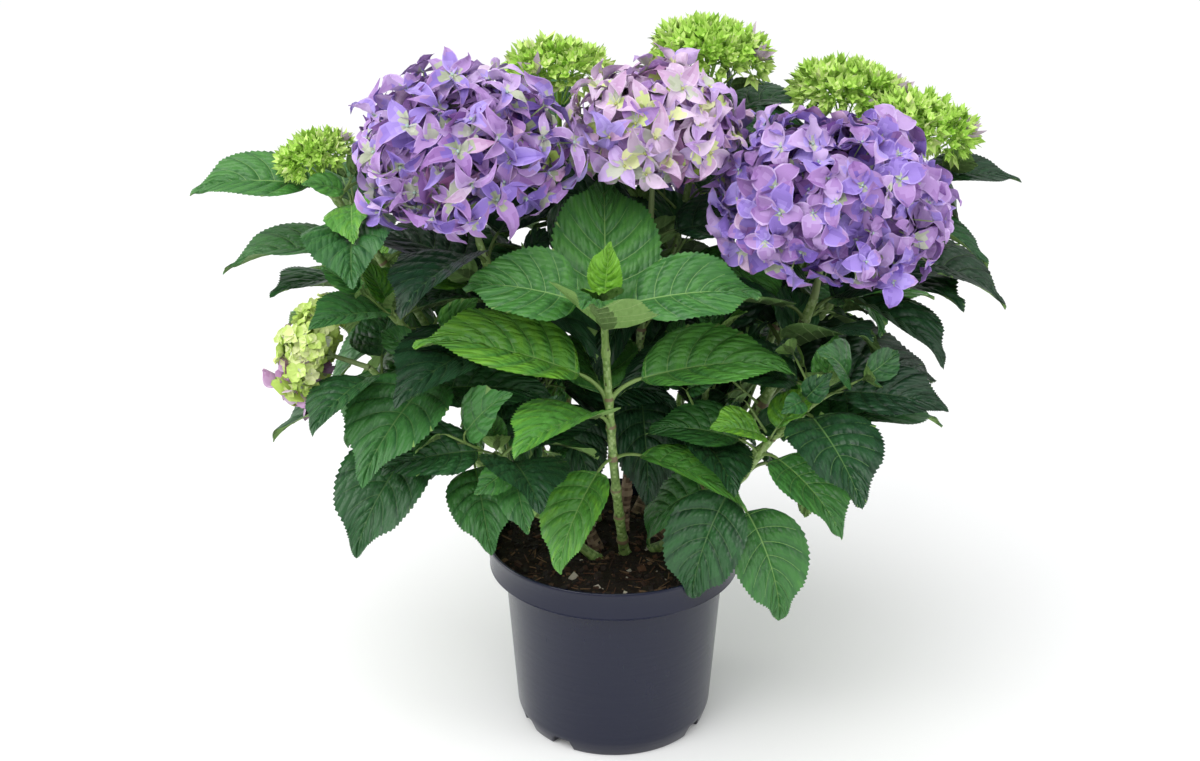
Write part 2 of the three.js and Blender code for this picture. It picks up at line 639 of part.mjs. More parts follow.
// Pair by pair down all the shoots together, after the early one.
const rowsOf = (shoot) => Array.from({ length: shoot.pairs }, (_, row) => ({ shoot, row }));
const jobs = SHOOTS.flatMap(rowsOf);
jobs.sort((a, b) => (a.shoot.early ? -1 : a.row) - (b.shoot.early ? -1 : b.row));
for (const { shoot, row } of jobs) {
  const owner = `leaves_${shoot.name}`;
  const pair = (shoot.own ?? (shoot.head ? HEAD_PAIRS : TUFT_PAIRS))[row];
  shoot.below += pair.gap * shoot.size;
  for (const side of [0, 1]) {
    const numbers = Array.from({ length: 5 }, shoot.draw);
    const plan = TRIES.map((step) => leafPlan(shoot, pair, row, side, numbers, step))
      .find((candidate) => !touches(candidate, owner));
    if (plan && shoot.below < (1 - shoot.bare - TWIG.leafless) * shoot.length) {
      const leaf = leafSolid(plan, 0, true);
      stand(owner, leaf);
      shoot.mass = shoot.mass.add(leaf);
    }
  }
}
for (const shoot of SHOOTS) place(`leaves_${shoot.name}`, shoot.mass, COLOURS.leaf, 0.5);

export default plant;
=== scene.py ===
"""A mophead hydrangea in a round nursery pot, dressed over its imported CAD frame.

The pot, the compost and the stems are remade with their finish. Every leafy shoot grows again by
the rule of the CAD source, with each leaf on the place that it has there, and the domes of the
flower heads are filled with florets or buds. Lengths are millimetres until a mesh is made.
"""

import math

import bmesh
import bpy
import numpy as np
from mathutils import Matrix, Vector, noise
from mathutils.bvhtree import BVHTree


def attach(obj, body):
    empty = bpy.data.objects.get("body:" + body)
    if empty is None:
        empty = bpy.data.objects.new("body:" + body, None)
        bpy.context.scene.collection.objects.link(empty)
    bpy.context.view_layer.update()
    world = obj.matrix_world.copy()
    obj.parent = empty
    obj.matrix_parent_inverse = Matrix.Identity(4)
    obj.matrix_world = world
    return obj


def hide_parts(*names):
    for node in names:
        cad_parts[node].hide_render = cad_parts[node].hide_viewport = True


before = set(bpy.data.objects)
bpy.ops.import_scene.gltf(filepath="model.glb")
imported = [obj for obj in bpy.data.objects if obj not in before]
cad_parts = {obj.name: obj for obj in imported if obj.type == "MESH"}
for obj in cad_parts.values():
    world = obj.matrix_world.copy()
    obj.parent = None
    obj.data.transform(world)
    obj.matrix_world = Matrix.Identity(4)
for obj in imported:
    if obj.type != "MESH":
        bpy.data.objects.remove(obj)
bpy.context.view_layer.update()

# ------------------------------------------------------------------ the pot
# A thin-walled nursery pot, blow-moulded in one piece from dark slate plastic. It has a deep
# collar round the mouth, a slightly tapering wall, and a stepped foot ring with drainage gaps.

POT_HEIGHT = 180
POT_RIM = 115  # radius
POT_WALL = 1.8
COLLAR_HEIGHT = 28
COLLAR_DRAFT = 3
SHOULDER = 13
HEEL_RADIUS = 89.5
HEEL_HEIGHT = 14
FLOOR_RISE = 8
FOOT_RADIUS = 85
FOOT_WIDTH = 8
FOOT_SLOPE = 3  # how far the inner sides of the feet and of the middle pad lean
PAD_RADIUS = 20
WIDE_FOOT = 76  # degrees
WIDE_FEET = (-78, 42, 162)  # directions, degrees from +X
NOTCH_HEIGHT = 10.5
NOTCH_DEPTH = 13  # how far a gap between feet reaches in
NOTCH_WIDTH = 13  # degrees
NOTCH_SLANT = 2.5  # degrees that a foot loses on each side towards the ground
DRAIN_RADIUS = 7
DRAIN_RING = 48
POT_STEPS, DRAIN_STEPS = 144, 20
CUT_CLEAR = 4  # how far the cutter stands out under the ground
POT_SHARP = 38  # degrees past which an edge stays sharp
ARC_MIDDLE = 0.29  # how near a rounded corner's middle point lies to the corner

SLATE = (0.0020, 0.0042, 0.0220)
SLATE_WORN = (0.014, 0.018, 0.042)
SLATE_DUST = (0.105, 0.095, 0.085)


class Value:
    """A material's socket on which Python's own signs work."""

    def __init__(self, paint, socket):
        self.paint, self.socket = paint, socket

    def maths(self, operation, other):
        return self.paint.node("ShaderNodeMath", {"operation": operation}, self, other)

    def __add__(self, other):
        return self.maths("ADD", other)

    def __mul__(self, other):
        return self.maths("MULTIPLY", other)

    __radd__ = __add__
    __rmul__ = __mul__


class Paint:
    """A material whose nodes are written as expressions."""

    def __init__(self, name, colour, roughness, **plain):
        self.material = bpy.data.materials.new(name)
        self.material.use_nodes = True
        self.tree = self.material.node_tree
        self.shader = self.tree.nodes["Principled BSDF"]
        self.material.diffuse_color = (*colour, 1)
        self.set("Base Color", colour)
        self.set("Roughness", roughness)
        for socket, value in plain.items():
            self.set(socket.replace("_", " ").title().replace("Ior", "IOR"), value)

    def node(self, kind, settings, *values, output=0, **named):
        """Adds a node, sets it up, and gives the value or link of each socket."""
        made = self.tree.nodes.new(kind)
        for key, setting in settings.items():
            setattr(made, key, setting)
        for key, value in [*enumerate(values), *named.items()]:
            socket = made.inputs[key.replace("_", " ") if isinstance(key, str) else key]
            self.feed(socket, value)
        return Value(self, made.outputs[output])

    def feed(self, socket, value):
        if isinstance(value, Value):
            self.tree.links.new(value.socket, socket)
        elif isinstance(value, tuple) and len(value) == 3 and socket.type == "RGBA":
            socket.default_value = (*value, 1)
        elif value is not None:
            socket.default_value = value

    def set(self, name, value):
        self.feed(self.shader.inputs[name], value)

    def place(self, stretch=(1, 1, 1)):
        """The object's own coordinates, in metres."""
        spot = self.node("ShaderNodeTexCoord", {}, output="Object")
        return self.node("ShaderNodeMapping", {}, Vector=spot, Scale=stretch)

    def noise(self, spot, scale, detail=3.0, rough=0.5):
        values = dict(Vector=spot, Scale=scale, Detail=detail, Roughness=rough)
        return self.node("ShaderNodeTexNoise", {}, **values)

    def between(self, value, low, high):
        """Maps low..high to 0..1, smoothly and clamped."""
        settings = {"interpolation_type": "SMOOTHSTEP"}
        return self.node("ShaderNodeMapRange", settings, Value=value, From_Min=low, From_Max=high)

    def blend(self, share, low, high):
        """A colour between two, by share."""
        unused = [None] * 5  # the sockets of the other kinds of mix
        return self.node("ShaderNodeMix", {"data_type": "RGBA"}, share, *unused, low, high, output=2)

    def relief(self, height, depth):
        """Bumps of this depth in metres."""
        bump = self.node("ShaderNodeBump", {}, Strength=1.0, Distance=depth, Height=height)
        self.set("Normal", bump)

    def grained(self, scale, depth, detail=3.0, rough=0.5, stretch=(1, 1, 1)):
        """Gives the finish the fine relief of one noise, and itself back."""
        self.relief(self.noise(self.place(stretch), scale, detail, rough), depth)
        return self


def add_piece(name, mesh, paints, slot, *nodes):
    """Shows a mesh as a piece of the plant in place of these CAD nodes."""
    piece = bpy.data.objects.new(name, mesh)
    bpy.context.scene.collection.objects.link(piece)
    for paint in paints:
        mesh.materials.append(paint.material)
    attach(piece, "root")
    if nodes:
        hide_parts(*nodes)
    return piece


def turned(profile, steps):
    """A closed skin turned from a profile of radii and heights that starts and ends on the axis."""
    made = bmesh.new()
    corners = [made.verts.new((radius / 1000, 0, height / 1000)) for radius, height in profile]
    edges = [made.edges.new(pair) for pair in zip(corners, corners[1:])]
    bmesh.ops.spin(
        made, geom=corners + edges, cent=(0, 0, 0), axis=(0, 0, 1), dvec=(0, 0, 0),
        angle=math.tau, steps=steps, use_merge=True, use_duplicate=False,
    )
    bmesh.ops.remove_doubles(made, verts=made.verts, dist=1e-6)
    bmesh.ops.recalc_face_normals(made, faces=made.faces)
    return made


def rounded(profile, corners):
    """The profile with some corners turned into arcs; corners gives each one's index and radius."""
    line = []
    for index, here in enumerate(profile):
        radius = corners.get(index)
        if not radius:
            line.append(here)
            continue
        here, before, after = (Vector(profile[i]) for i in (index, index - 1, index + 1))
        back, on = (before - here).normalized(), (after - here).normalized()
        arc = [here + back * radius, here + (back + on) * radius * ARC_MIDDLE, here + on * radius]
        line += [tuple(spot) for spot in arc]
    return line


def pot_wall(height):
    """The outer radius of the wall, which tapers from the shoulder down to the heel."""
    top = POT_HEIGHT - COLLAR_HEIGHT
    wide = POT_RIM - COLLAR_DRAFT - SHOULDER
    return HEEL_RADIUS + (wide - HEEL_RADIUS) * (height - HEEL_HEIGHT) / (top - HEEL_HEIGHT)


collar_foot = POT_HEIGHT - COLLAR_HEIGHT
collar_radius = POT_RIM - COLLAR_DRAFT
shoulder_radius = pot_wall(collar_foot)
# The pot from the middle of its underside over the outside and the rim to the middle of its floor.
# The small steps round off its heel, its shoulder, and both edges of the collar.
underside = [
    (0, 0), (PAD_RADIUS, 0), (PAD_RADIUS + FOOT_SLOPE, FLOOR_RISE),
    (FOOT_RADIUS - FOOT_WIDTH - FOOT_SLOPE, FLOOR_RISE), (FOOT_RADIUS - FOOT_WIDTH, 0), (FOOT_RADIUS, 0),
]
outside = [
    (HEEL_RADIUS - 0.6, HEEL_HEIGHT - 2), (HEEL_RADIUS, HEEL_HEIGHT + 1),
    (pot_wall(collar_foot - 4), collar_foot - 4), (shoulder_radius + 1.4, collar_foot + 0.6),
    (collar_radius - 0.6, collar_foot + 0.8), (collar_radius + 0.5, collar_foot + 2),
    (collar_radius - 0.2, collar_foot + 3.6), (POT_RIM - 0.5, POT_HEIGHT - 3.4),
    (POT_RIM, POT_HEIGHT - 2), (POT_RIM - 0.8, POT_HEIGHT),
]
inside = [
    (POT_RIM - POT_WALL - 0.6, POT_HEIGHT), (POT_RIM - POT_WALL - 1.4, POT_HEIGHT - 3),
    (collar_radius - POT_WALL, collar_foot + 2 + POT_WALL),
    (shoulder_radius - POT_WALL, collar_foot + POT_WALL), (HEEL_RADIUS - POT_WALL, HEEL_HEIGHT),
    (FOOT_RADIUS - 4, FLOOR_RISE + POT_WALL), (0, FLOOR_RISE + POT_WALL),
]
pot_corners = {5: 1.2, 9: 1.2, 10: 0.7, 14: 0.7, 15: 0.6, 16: 0.6}  # and these turn into arcs
pot_shape = turned(rounded(underside + outside + inside, pot_corners), POT_STEPS)

# The cutter holds a wedge for each gap between the feet, wider at the ground, and the drain holes.
cutter = bmesh.new()
gap_side = (WIDE_FOOT + NOTCH_WIDTH) / 2
for wide in WIDE_FEET:
    for middle in (wide - gap_side, wide + gap_side):
        wedge = bmesh.ops.create_cube(cutter, size=1)["verts"]
        for corner in wedge:
            low = corner.co.z < 0
            radius = FOOT_RADIUS - NOTCH_DEPTH if corner.co.x < 0 else POT_RIM
            half = NOTCH_WIDTH / 2 + (NOTCH_SLANT if low else -NOTCH_SLANT / 2)
            turn = math.radians(middle + math.copysign(half, corner.co.y))
            height = -CUT_CLEAR if low else NOTCH_HEIGHT
            corner.co = (radius * math.cos(turn), radius * math.sin(turn), height)
    drain = bmesh.ops.create_cone(
        cutter, cap_ends=True, segments=DRAIN_STEPS, radius1=DRAIN_RADIUS, radius2=DRAIN_RADIUS,
        depth=4 * POT_WALL,
    )["verts"]
    direction = Matrix.Rotation(math.radians(wide), 3, "Z")
    bmesh.ops.translate(cutter, verts=drain, vec=direction @ Vector((DRAIN_RING, 0, FLOOR_RISE + 1)))
bmesh.ops.scale(cutter, verts=cutter.verts, vec=(0.001, 0.001, 0.001))


def mesh_of(shape, name):
    mesh = bpy.data.meshes.new(name)
    shape.to_mesh(mesh)
    shape.free()
    return mesh


pot_solid = bpy.data.objects.new("pot_solid", mesh_of(pot_shape, "pot_solid"))
pot_cutter = bpy.data.objects.new("pot_cutter", mesh_of(cutter, "pot_cutter"))
for helper in (pot_solid, pot_cutter):
    bpy.context.scene.collection.objects.link(helper)
cut = pot_solid.modifiers.new("gaps", "BOOLEAN")
cut.operation, cut.object, cut.solver = "DIFFERENCE", pot_cutter, "EXACT"
graph = bpy.context.evaluated_depsgraph_get()
pot_mesh = bpy.data.meshes.new_from_object(pot_solid.evaluated_get(graph))
for helper in (pot_solid, pot_cutter):
    bpy.data.objects.remove(helper)
for face in pot_mesh.polygons:
    face.use_smooth = True
pot_mesh.set_sharp_from_angle(angle=math.radians(POT_SHARP))

slate = Paint("slate_plastic", SLATE, 0.26, specular_ior_level=0.4)
spot = slate.place()
flow = slate.noise(slate.place((3, 3, 26)), 9, 4, 0.6)
grain = slate.noise(spot, 900, 2)
cloud = slate.noise(spot, 14, 4, 0.6)
scuff = slate.between(slate.noise(slate.place((60, 60, 9)), 6, 6, 0.75), 0.6, 0.78)
height_mask = slate.between(slate.node("ShaderNodeSeparateXYZ", {}, spot, output=2), 0.02, 0.0)
worn = slate.blend(scuff * 0.35 + cloud * 0.1, SLATE, SLATE_WORN)
slate.set("Base Color", slate.blend(height_mask * 0.25 * cloud, worn, SLATE_DUST))
slate.set("Roughness", cloud * 0.16 + scuff * 0.14 + grain * 0.06 + 0.13)
slate.relief(grain * 0.35 + flow * 0.8 + scuff * 0.3, 0.00022)
add_piece("nursery_pot", pot_mesh, [slate], "pot", "pot")

# ------------------------------------------------------------------ the compost
# Moist peat compost, filled to a finger under the rim. Its top is lumpy and strewn with crumbs,
# chips of bark, fibres and a few pale specks, which lie on it loose.

COMPOST_TOP = 169
COMPOST_RADIUS = 109.4
COMPOST_SPACING = 1.9
COMPOST_SINK = 1.2  # how far its surface lies below the CAD's flat top
COMPOST_SWELL = 3.2  # how far the broad lumps rise and fall
FINE_SWELL = 0.42  # and the fine ones, over that
BROAD_FIT, FINE_FIT = 0.03, 0.19  # how many of them lie in a millimetre
BROAD_LUMPS, FINE_LUMPS = (0.9, 2.0, 4), (0.7, 2.1, 4)  # roughness, lacunarity and octaves
COMPOST_EDGE, EDGE_SLOPE = 0.86, 18  # where the surface starts to sink to the wall, and how steeply
SKIRT = 12  # how far the bed reaches down along the wall
CRUMBS, CRUMB_REACH = 1500, 0.96
CRUMB_SIZE, CRUMB_RANGE = 0.55, 2.1  # the least half width, and how much the largest add to it
CRUMB_ROUGHNESS, CRUMB_TILT = 0.16, 0.5
FIBRES, FIBRE_REACH = 170, 0.9
FIBRE_LENGTH, FIBRE_WIDTH, FIBRE_TILT = (3, 9), (0.25, 0.6), 0.2
FIBRE_PAINTS = (2, 5)
FACETED = 0  # as a sharp angle, leaves every edge sharp

PEAT = (0.0115, 0.0072, 0.0048)
PEAT_LIGHT = (0.040, 0.021, 0.012)
CRUMB_COLOURS = (
    (0.010, 0.006, 0.004), (0.020, 0.011, 0.007), (0.045, 0.019, 0.009), (0.085, 0.036, 0.016),
    (0.150, 0.085, 0.042), (0.42, 0.38, 0.31),
)
CRUMB_SHARES = (0.34, 0.28, 0.18, 0.12, 0.065, 0.015)


def compost_height(x, y):
    """The top of the compost, which stays just under the CAD's flat top where the stems stand."""
    place = Vector((x, y, 0))
    broad = noise.fractal(place * BROAD_FIT, *BROAD_LUMPS) * COMPOST_SWELL
    fine = noise.fractal(place * FINE_FIT, *FINE_LUMPS) * COMPOST_SWELL * FINE_SWELL
    edge = max(0, math.hypot(x, y) / COMPOST_RADIUS - COMPOST_EDGE) * EDGE_SLOPE
    return COMPOST_TOP - COMPOST_SINK + broad + fine - edge


bed = bmesh.new()
bmesh.ops.create_circle(bed, cap_ends=True, segments=120, radius=COMPOST_RADIUS)
bmesh.ops.translate(bed, verts=bed.verts, vec=(0, 0, COMPOST_TOP))
cells = int(COMPOST_RADIUS / COMPOST_SPACING)
for cell in range(-cells, cells + 1):
    for across in ((1, 0, 0), (0, 1, 0)):
        plane = Vector(across) * cell * COMPOST_SPACING
        whole = bed.verts[:] + bed.edges[:] + bed.faces[:]
        bmesh.ops.bisect_plane(bed, geom=whole, plane_co=plane, plane_no=across)
bmesh.ops.triangulate(bed, faces=bed.faces)
rim = [edge for edge in bed.edges if edge.is_boundary]
for corner in bed.verts:
    corner.co.z = compost_height(corner.co.x, corner.co.y)
skirt = bmesh.ops.extrude_edge_only(bed, edges=rim)["geom"]
for corner in (part for part in skirt if isinstance(part, bmesh.types.BMVert)):
    corner.co.z = COMPOST_TOP - SKIRT
bmesh.ops.holes_fill(bed, edges=[edge for edge in bed.edges if edge.is_boundary], sides=0)
bmesh.ops.recalc_face_normals(bed, faces=bed.faces)
bmesh.ops.scale(bed, verts=bed.verts, vec=(0.001, 0.001, 0.001))
for face in bed.faces:
    face.smooth = True

peat = Paint("moist_peat", PEAT, 0.9, specular_ior_level=0.3)
spot = peat.place()
crumb = peat.noise(spot, 420, 5, 0.7)
clod = peat.noise(spot, 90, 4, 0.6)
peat.set("Base Color", peat.blend(peat.between(crumb * 0.6 + clod * 0.4, 0.46, 0.68), PEAT, PEAT_LIGHT))
peat.set("Roughness", crumb * 0.3 + 0.68)
peat.relief(crumb + clod * 1.6, 0.0016)
add_piece("compost_bed", mesh_of(bed, "compost_bed"), [peat], "compost", "compost")


def joined(name, parts, sharp=None):
    """One mesh from many parts, each an array of points, one of faces with three or four corners,
    each face's material, and for a leaf each point's place among its veins. Edges past `sharp`
    degrees stay sharp."""
    starts = np.cumsum([0] + [len(part[0]) for part in parts])
    mesh = bpy.data.meshes.new(name)
    mesh.vertices.add(starts[-1])
    mesh.vertices.foreach_set("co", np.concatenate([part[0] for part in parts]).ravel() * 0.001)
    corners = np.concatenate([(part[1] + start).ravel() for part, start in zip(parts, starts)])
    sides = np.concatenate([np.full(len(part[1]), part[1].shape[1]) for part in parts])
    mesh.loops.add(len(corners))
    mesh.loops.foreach_set("vertex_index", corners)
    mesh.polygons.add(len(sides))
    mesh.polygons.foreach_set("loop_start", np.concatenate([[0], np.cumsum(sides)[:-1]]))
    mesh.polygons.foreach_set("material_index", np.concatenate([part[2] for part in parts]))
    mesh.polygons.foreach_set("use_smooth", np.full(len(sides), sharp != FACETED))
    if len(parts[0]) > 3:
        layer = mesh.attributes.new("among_veins", "FLOAT_VECTOR", "POINT")
        layer.data.foreach_set("vector", np.concatenate([part[3] for part in parts]).ravel())
    mesh.update(calc_edges=True)
    if sharp:
        mesh.set_sharp_from_angle(angle=math.radians(sharp))
    return mesh


CUBE_POINTS = np.array([[x, y, z] for x in (-1, 1) for y in (-1, 1) for z in (-1, 1)], dtype=float)
CUBE_FACES = np.array(
    [[0, 1, 3, 2], [4, 6, 7, 5], [0, 4, 5, 1], [2, 3, 7, 6], [0, 2, 6, 4], [1, 5, 7, 3]]
)


def spun(turns):
    """A turning matrix from an angle round each axis."""
    x, y, z = (Matrix.Rotation(turn, 3, axis) for turn, axis in zip(turns, "XYZ"))
    return np.array(x @ y @ z)


def strewn(reach):
    """A random place on the compost, with its direction from the middle."""
    out, turn = COMPOST_RADIUS * reach * math.sqrt(rng.random()), math.tau * rng.random()
    return out * math.cos(turn), out * math.sin(turn), turn


rng = np.random.default_rng(7)
loose = []
for _ in range(CRUMBS):
    x, y, turn = strewn(CRUMB_REACH)
    size = CRUMB_SIZE + CRUMB_RANGE * rng.random() ** 4
    shape = CUBE_POINTS * (size * rng.uniform(0.5, 1.5), size, size * rng.uniform(0.3, 0.8))
    shape = shape + rng.normal(0, CRUMB_ROUGHNESS * size, shape.shape)
    shape = shape @ spun(rng.uniform(-CRUMB_TILT, CRUMB_TILT, 3) + (0, 0, turn * 7)).T
    paint = rng.choice(len(CRUMB_SHARES), p=CRUMB_SHARES)
    loose.append((shape + (x, y, compost_height(x, y) + size * 0.25), CUBE_FACES, np.full(6, paint)))
for _ in range(FIBRES):
    x, y, turn = strewn(FIBRE_REACH)
    length, thick = rng.uniform(*FIBRE_LENGTH), rng.uniform(*FIBRE_WIDTH)
    turns = rng.uniform(-FIBRE_TILT, FIBRE_TILT, 3) + (0, 0, turn * 5)
    shape = (CUBE_POINTS * (length, thick, thick)) @ spun(turns).T
    paint = rng.integers(*FIBRE_PAINTS)
    loose.append((shape + (x, y, compost_height(x, y) + 0.7), CUBE_FACES, np.full(6, paint)))
crumb_paints = [
    Paint(f"compost_crumb_{number}", colour, 0.85).grained(900, 0.0004, stretch=(1, 1, 3))
    for number, colour in enumerate(CRUMB_COLOURS, 1)
]
add_piece("compost_crumbs", joined("compost_crumbs", loose, FACETED), crumb_paints, "compost")

# ------------------------------------------------------------------ the stems
# Living shoots that stand in the compost or branch from one another. The thick ones are brown and
# scarred wood, and the others are green canes with dark flecks. Leaf joints swell into nodes.

# foot is where a stem leaves the compost, or `on` and `at` name the stem it branches from and how
# far up. tip is its top, bow bends it out first and then up, bare is the leafless share of its
# length, turn is the direction of its top pair of leaves, and nod tips its leaves. tone is how
# light its leaves are: the shoots under the blooms and inside the plant have darker tones, partly
# their own deeper green and partly painted shade. A head gives its kind, width, stalk and lean.
SHOOTS = {
    "front": dict(
        foot=(10, -16), tip=(-10, -102, 430), bow=0.14, bare=0.38, turn=86, pairs=6, size=1, radius=4.6,
        own="front", nod=(0, -0.62), tone=0.74,
    ),
    "left": dict(
        foot=(-16, -2), tip=(-112, -24, 458), bow=0, bare=0.36, turn=250, pairs=4, size=1.02, radius=5,
        tone=0.2, head=dict(kind="bloom", width=176, stalk=24, lean=(-0.1, -0.22)),
    ),
    "right": dict(
        foot=(38, 20), tip=(166, -20, 408), bow=0.12, bare=0.44, turn=20, pairs=4, size=1.02, radius=6,
        tone=0.18, head=dict(kind="bloom", width=200, stalk=22, lean=(0.12, -0.2)),
    ),
    "middle": dict(
        foot=(8, 26), tip=(30, 14, 462), bow=0, bare=0.44, turn=170, pairs=4, size=0.98, radius=5,
        tone=0.22, head=dict(kind="bloom", width=152, stalk=34, lean=(0.02, -0.12)),
    ),
    "left_middle": dict(
        on="left", at=0.24, tip=(-184, -44, 402), bow=0.02, bare=0.44, turn=140, pairs=5, size=0.9,
        radius=4.2, tone=0.55,
    ),
    "right_middle": dict(
        on="right", at=0.26, tip=(172, -66, 340), bow=0.02, bare=0.4, turn=80, pairs=4, size=0.88,
        radius=3.8, tone=0.38,
    ),
    "left_upper": dict(
        on="left_side", at=0.3, tip=(-240, 8, 496), bow=-0.04, bare=0.42, turn=190, pairs=5, size=0.86,
        radius=4.6, tone=0.56, head=dict(kind="buds", width=60, stalk=22, lean=(-0.3, 0)),
    ),
    "left_low": dict(
        foot=(-14, -26), tip=(-202, -62, 362), bow=0.02, bare=0.46, turn=250, pairs=4, size=0.84,
        radius=4.2, tone=0.42, head=dict(kind="opening", width=96, stalk=26, lean=(-3, 0.15)),
    ),
    "left_bottom": dict(
        on="left_low", at=0.2, tip=(-98, -96, 300), bow=-0.05, bare=0.42, turn=100, pairs=4, size=0.78,
        radius=3.6, tone=0.42,
    ),
    "right_low": dict(
        foot=(34, -8), tip=(128, -76, 304), bow=0.1, bare=0.5, turn=42, pairs=4, size=1, radius=4.4,
        own="hanging", tone=0.56,
    ),
    "right_upper": dict(
        foot=(44, 44), tip=(252, 56, 494), bow=0.06, bare=0.46, turn=10, pairs=5, size=0.86, radius=4.6,
        tone=0.3, head=dict(kind="buds", width=92, stalk=34, lean=(0.22, 0.06)),
    ),
    "right_back": dict(
        on="right_upper", at=0.26, tip=(200, 104, 514), bow=0.05, bare=0.42, turn=60, pairs=5,
        size=0.92, radius=4.4, tone=0.34, head=dict(kind="buds", width=96, stalk=34, lean=(0.1, 0)),
    ),
    "back_left_upper": dict(
        foot=(-16, 46), tip=(-48, 78, 530), bow=0, bare=0.46, turn=120, pairs=5, size=0.9, radius=4.4,
        tone=0.34, head=dict(kind="buds", width=80, stalk=44, lean=(0, -0.05)),
    ),
    "back_right_upper": dict(
        on="middle", at=0.26, tip=(78, 94, 540), bow=0, bare=0.46, turn=30, pairs=5, size=0.9,
        radius=4.4, tone=0.34, head=dict(kind="buds", width=96, stalk=44, lean=(0.05, -0.1)),
    ),
    "inner_left": dict(
        on="left", at=0.14, tip=(-88, 6, 388), bow=0, bare=0.46, turn=60, pairs=5, size=0.86, radius=4,
        tone=0.26,
    ),
    "inner_right": dict(
        on="right_low", at=0.2, tip=(84, -22, 372), bow=0.04, bare=0.46, turn=150, pairs=5, size=0.86,
        radius=4, tone=0.3,
    ),
    "inner_back": dict(
        on="back_left_upper", at=0.22, tip=(28, 110, 436), bow=0.02, bare=0.46, turn=70, pairs=5,
        size=0.9, radius=4, tone=0.3,
    ),
    "back_left": dict(
        foot=(-40, 56), tip=(-142, 172, 392), bow=0.04, bare=0.42, turn=70, pairs=4, size=0.98,
        radius=4.8, tone=0.3, head=dict(kind="bloom", width=160, stalk=24, lean=(-0.2, 0.4)),
    ),
    "back_right": dict(
        foot=(22, 66), tip=(112, 176, 388), bow=0.04, bare=0.42, turn=20, pairs=4, size=0.98,
        radius=4.8, tone=0.3, head=dict(kind="bloom", width=168, stalk=24, lean=(0.2, 0.4)),
    ),
    "back": dict(
        on="back_left", at=0.2, tip=(-14, 194, 366), bow=0.06, bare=0.4, turn=90, pairs=5, size=0.9,
        radius=4, tone=0.6,
    ),
    "left_side": dict(
        foot=(-38, 18), tip=(-222, 112, 384), bow=0.02, bare=0.44, turn=60, pairs=5, size=0.94,
        radius=4.2, tone=0.56,
    ),
    "right_side": dict(
        on="back_right", at=0.2, tip=(228, 128, 380), bow=0.04, bare=0.44, turn=120, pairs=5, size=0.94,
        radius=4.2, tone=0.54,
    ),
}

TAPER = 0.62  # a stem's radius at its tip, over that at its foot
FLARE = 0.55  # how much it widens at the compost, over its radius
FLARE_LENGTH = 7
GAP = 0.3  # between a shoot's tip and its head, as in the CAD
WOODY = 4.7  # thicker stems have brown bark
WOOD_START, WOOD_FADE = 150, 60  # how far below the top leaves wood turns green, over what length
RING_STEP = 2.6
STEM_SIDES = 12
STEM_OVERLAP = 0.004  # how far a bare stem reaches into its leafy shoot, over its length
LENGTH_STEPS = 24  # in which a shoot's line is measured
NODE_SWELL = 0.3
NODE_SPAN = 4.2
LOWER_NODES = 38  # spacing of the bare nodes below the leaves
LOWEST_NODE = 12  # how far above its foot a stem has its first
CANE_ROUGHNESS, BARK_ROUGHNESS = 0.018, 0.05
SWAY = 0.05  # how far a stem's line wanders from ring to ring
FLECK_SHARE, RING_SHARE = 0.02, 0.16
SCAR_START, SCAR_SPAN = 60, 0.6 * RING_STEP  # how far below the top leaves they begin, and their width
CANE_TONE, TONE_PATCHES, TONE_CLIMB = 0.45, 0.3, 0.25  # green, how uneven, and how much paler on top
ASKEW = (0.3, 1, 0.2)  # a direction that no stem runs along

CANE_COLOURS = ((0.110, 0.200, 0.042), (0.165, 0.280, 0.065), (0.240, 0.370, 0.105), (0.350, 0.480, 0.190))
CANE_FLECK = (0.085, 0.090, 0.035)
CANE_SCAR = (0.21, 0.15, 0.085)
BARK_COLOURS = ((0.080, 0.046, 0.028), (0.140, 0.086, 0.052), (0.210, 0.140, 0.090), (0.290, 0.210, 0.145))
BARK_CRACK = (0.022, 0.012, 0.008)
BARK_RING = (0.30, 0.215, 0.14)
# Where these come among a stem's paints, with the bark's in the same order as the cane's.
FLECK = len(CANE_COLOURS)
SCAR, BARK = FLECK + 1, FLECK + 2
BARK_SCAR = BARK + SCAR

# Leaf pairs from a shoot's top down: distance below the pair above, then for each leaf its blade's
# length, how far its base points above level, how far it bends down by its tip, and how far it is
# swung round from its place. One leaf stands for both where they are alike.
PAIRS = {
    "tuft": ((3, (46, 62, 12, 0)), (7, (98, 16, 26, 0)), (27, (132, 28, 22, 0)), (44, (140, 20, 28, 0)),
             (27, (118, 6, 44, 0)), (30, (108, -14, 40, 0))),
    "head": ((18, (110, 20, 24, 0)), (36, (134, 16, 28, 0)), (44, (142, 6, 34, 0)), (46, (130, -6, 40, 0)),
             (42, (114, -14, 46, 0))),
    "front": ((3, (46, 62, 12, 0)), (7, (98, 16, 26, 0)), (27, (138, 68, 20, 0), (130, 30, 20, 0)),
              (40, (140, 20, 26, 0)), (27, (116, 4, 40, 0), (116, 38, 34, -24)),
              (32, (104, -30, 50, 66), (104, 6, 30, -8))),
    "hanging": ((4, (60, 30, 20, 0)), (14, (96, 4, 40, 0)), (26, (112, -22, 48, 0)),
                (26, (100, -24, 50, 0))),
}


def draws(seed):
    """The source's repeatable stream of numbers from 0 to 1."""
    while True:
        seed = (seed * 1664525 + 1013904223) % 4294967296
        yield seed / 4294967296


def unit(vector):
    vector = np.asarray(vector, dtype=float)
    return vector / np.linalg.norm(vector)


def line_points(shoot, t):
    """Points on a shoot's line at t, from its foot to its top."""
    t = np.asarray(t, dtype=float)[..., None]
    foot, middle, tip = shoot["line"]
    return (1 - t) ** 2 * foot + 2 * t * (1 - t) * middle + t**2 * tip


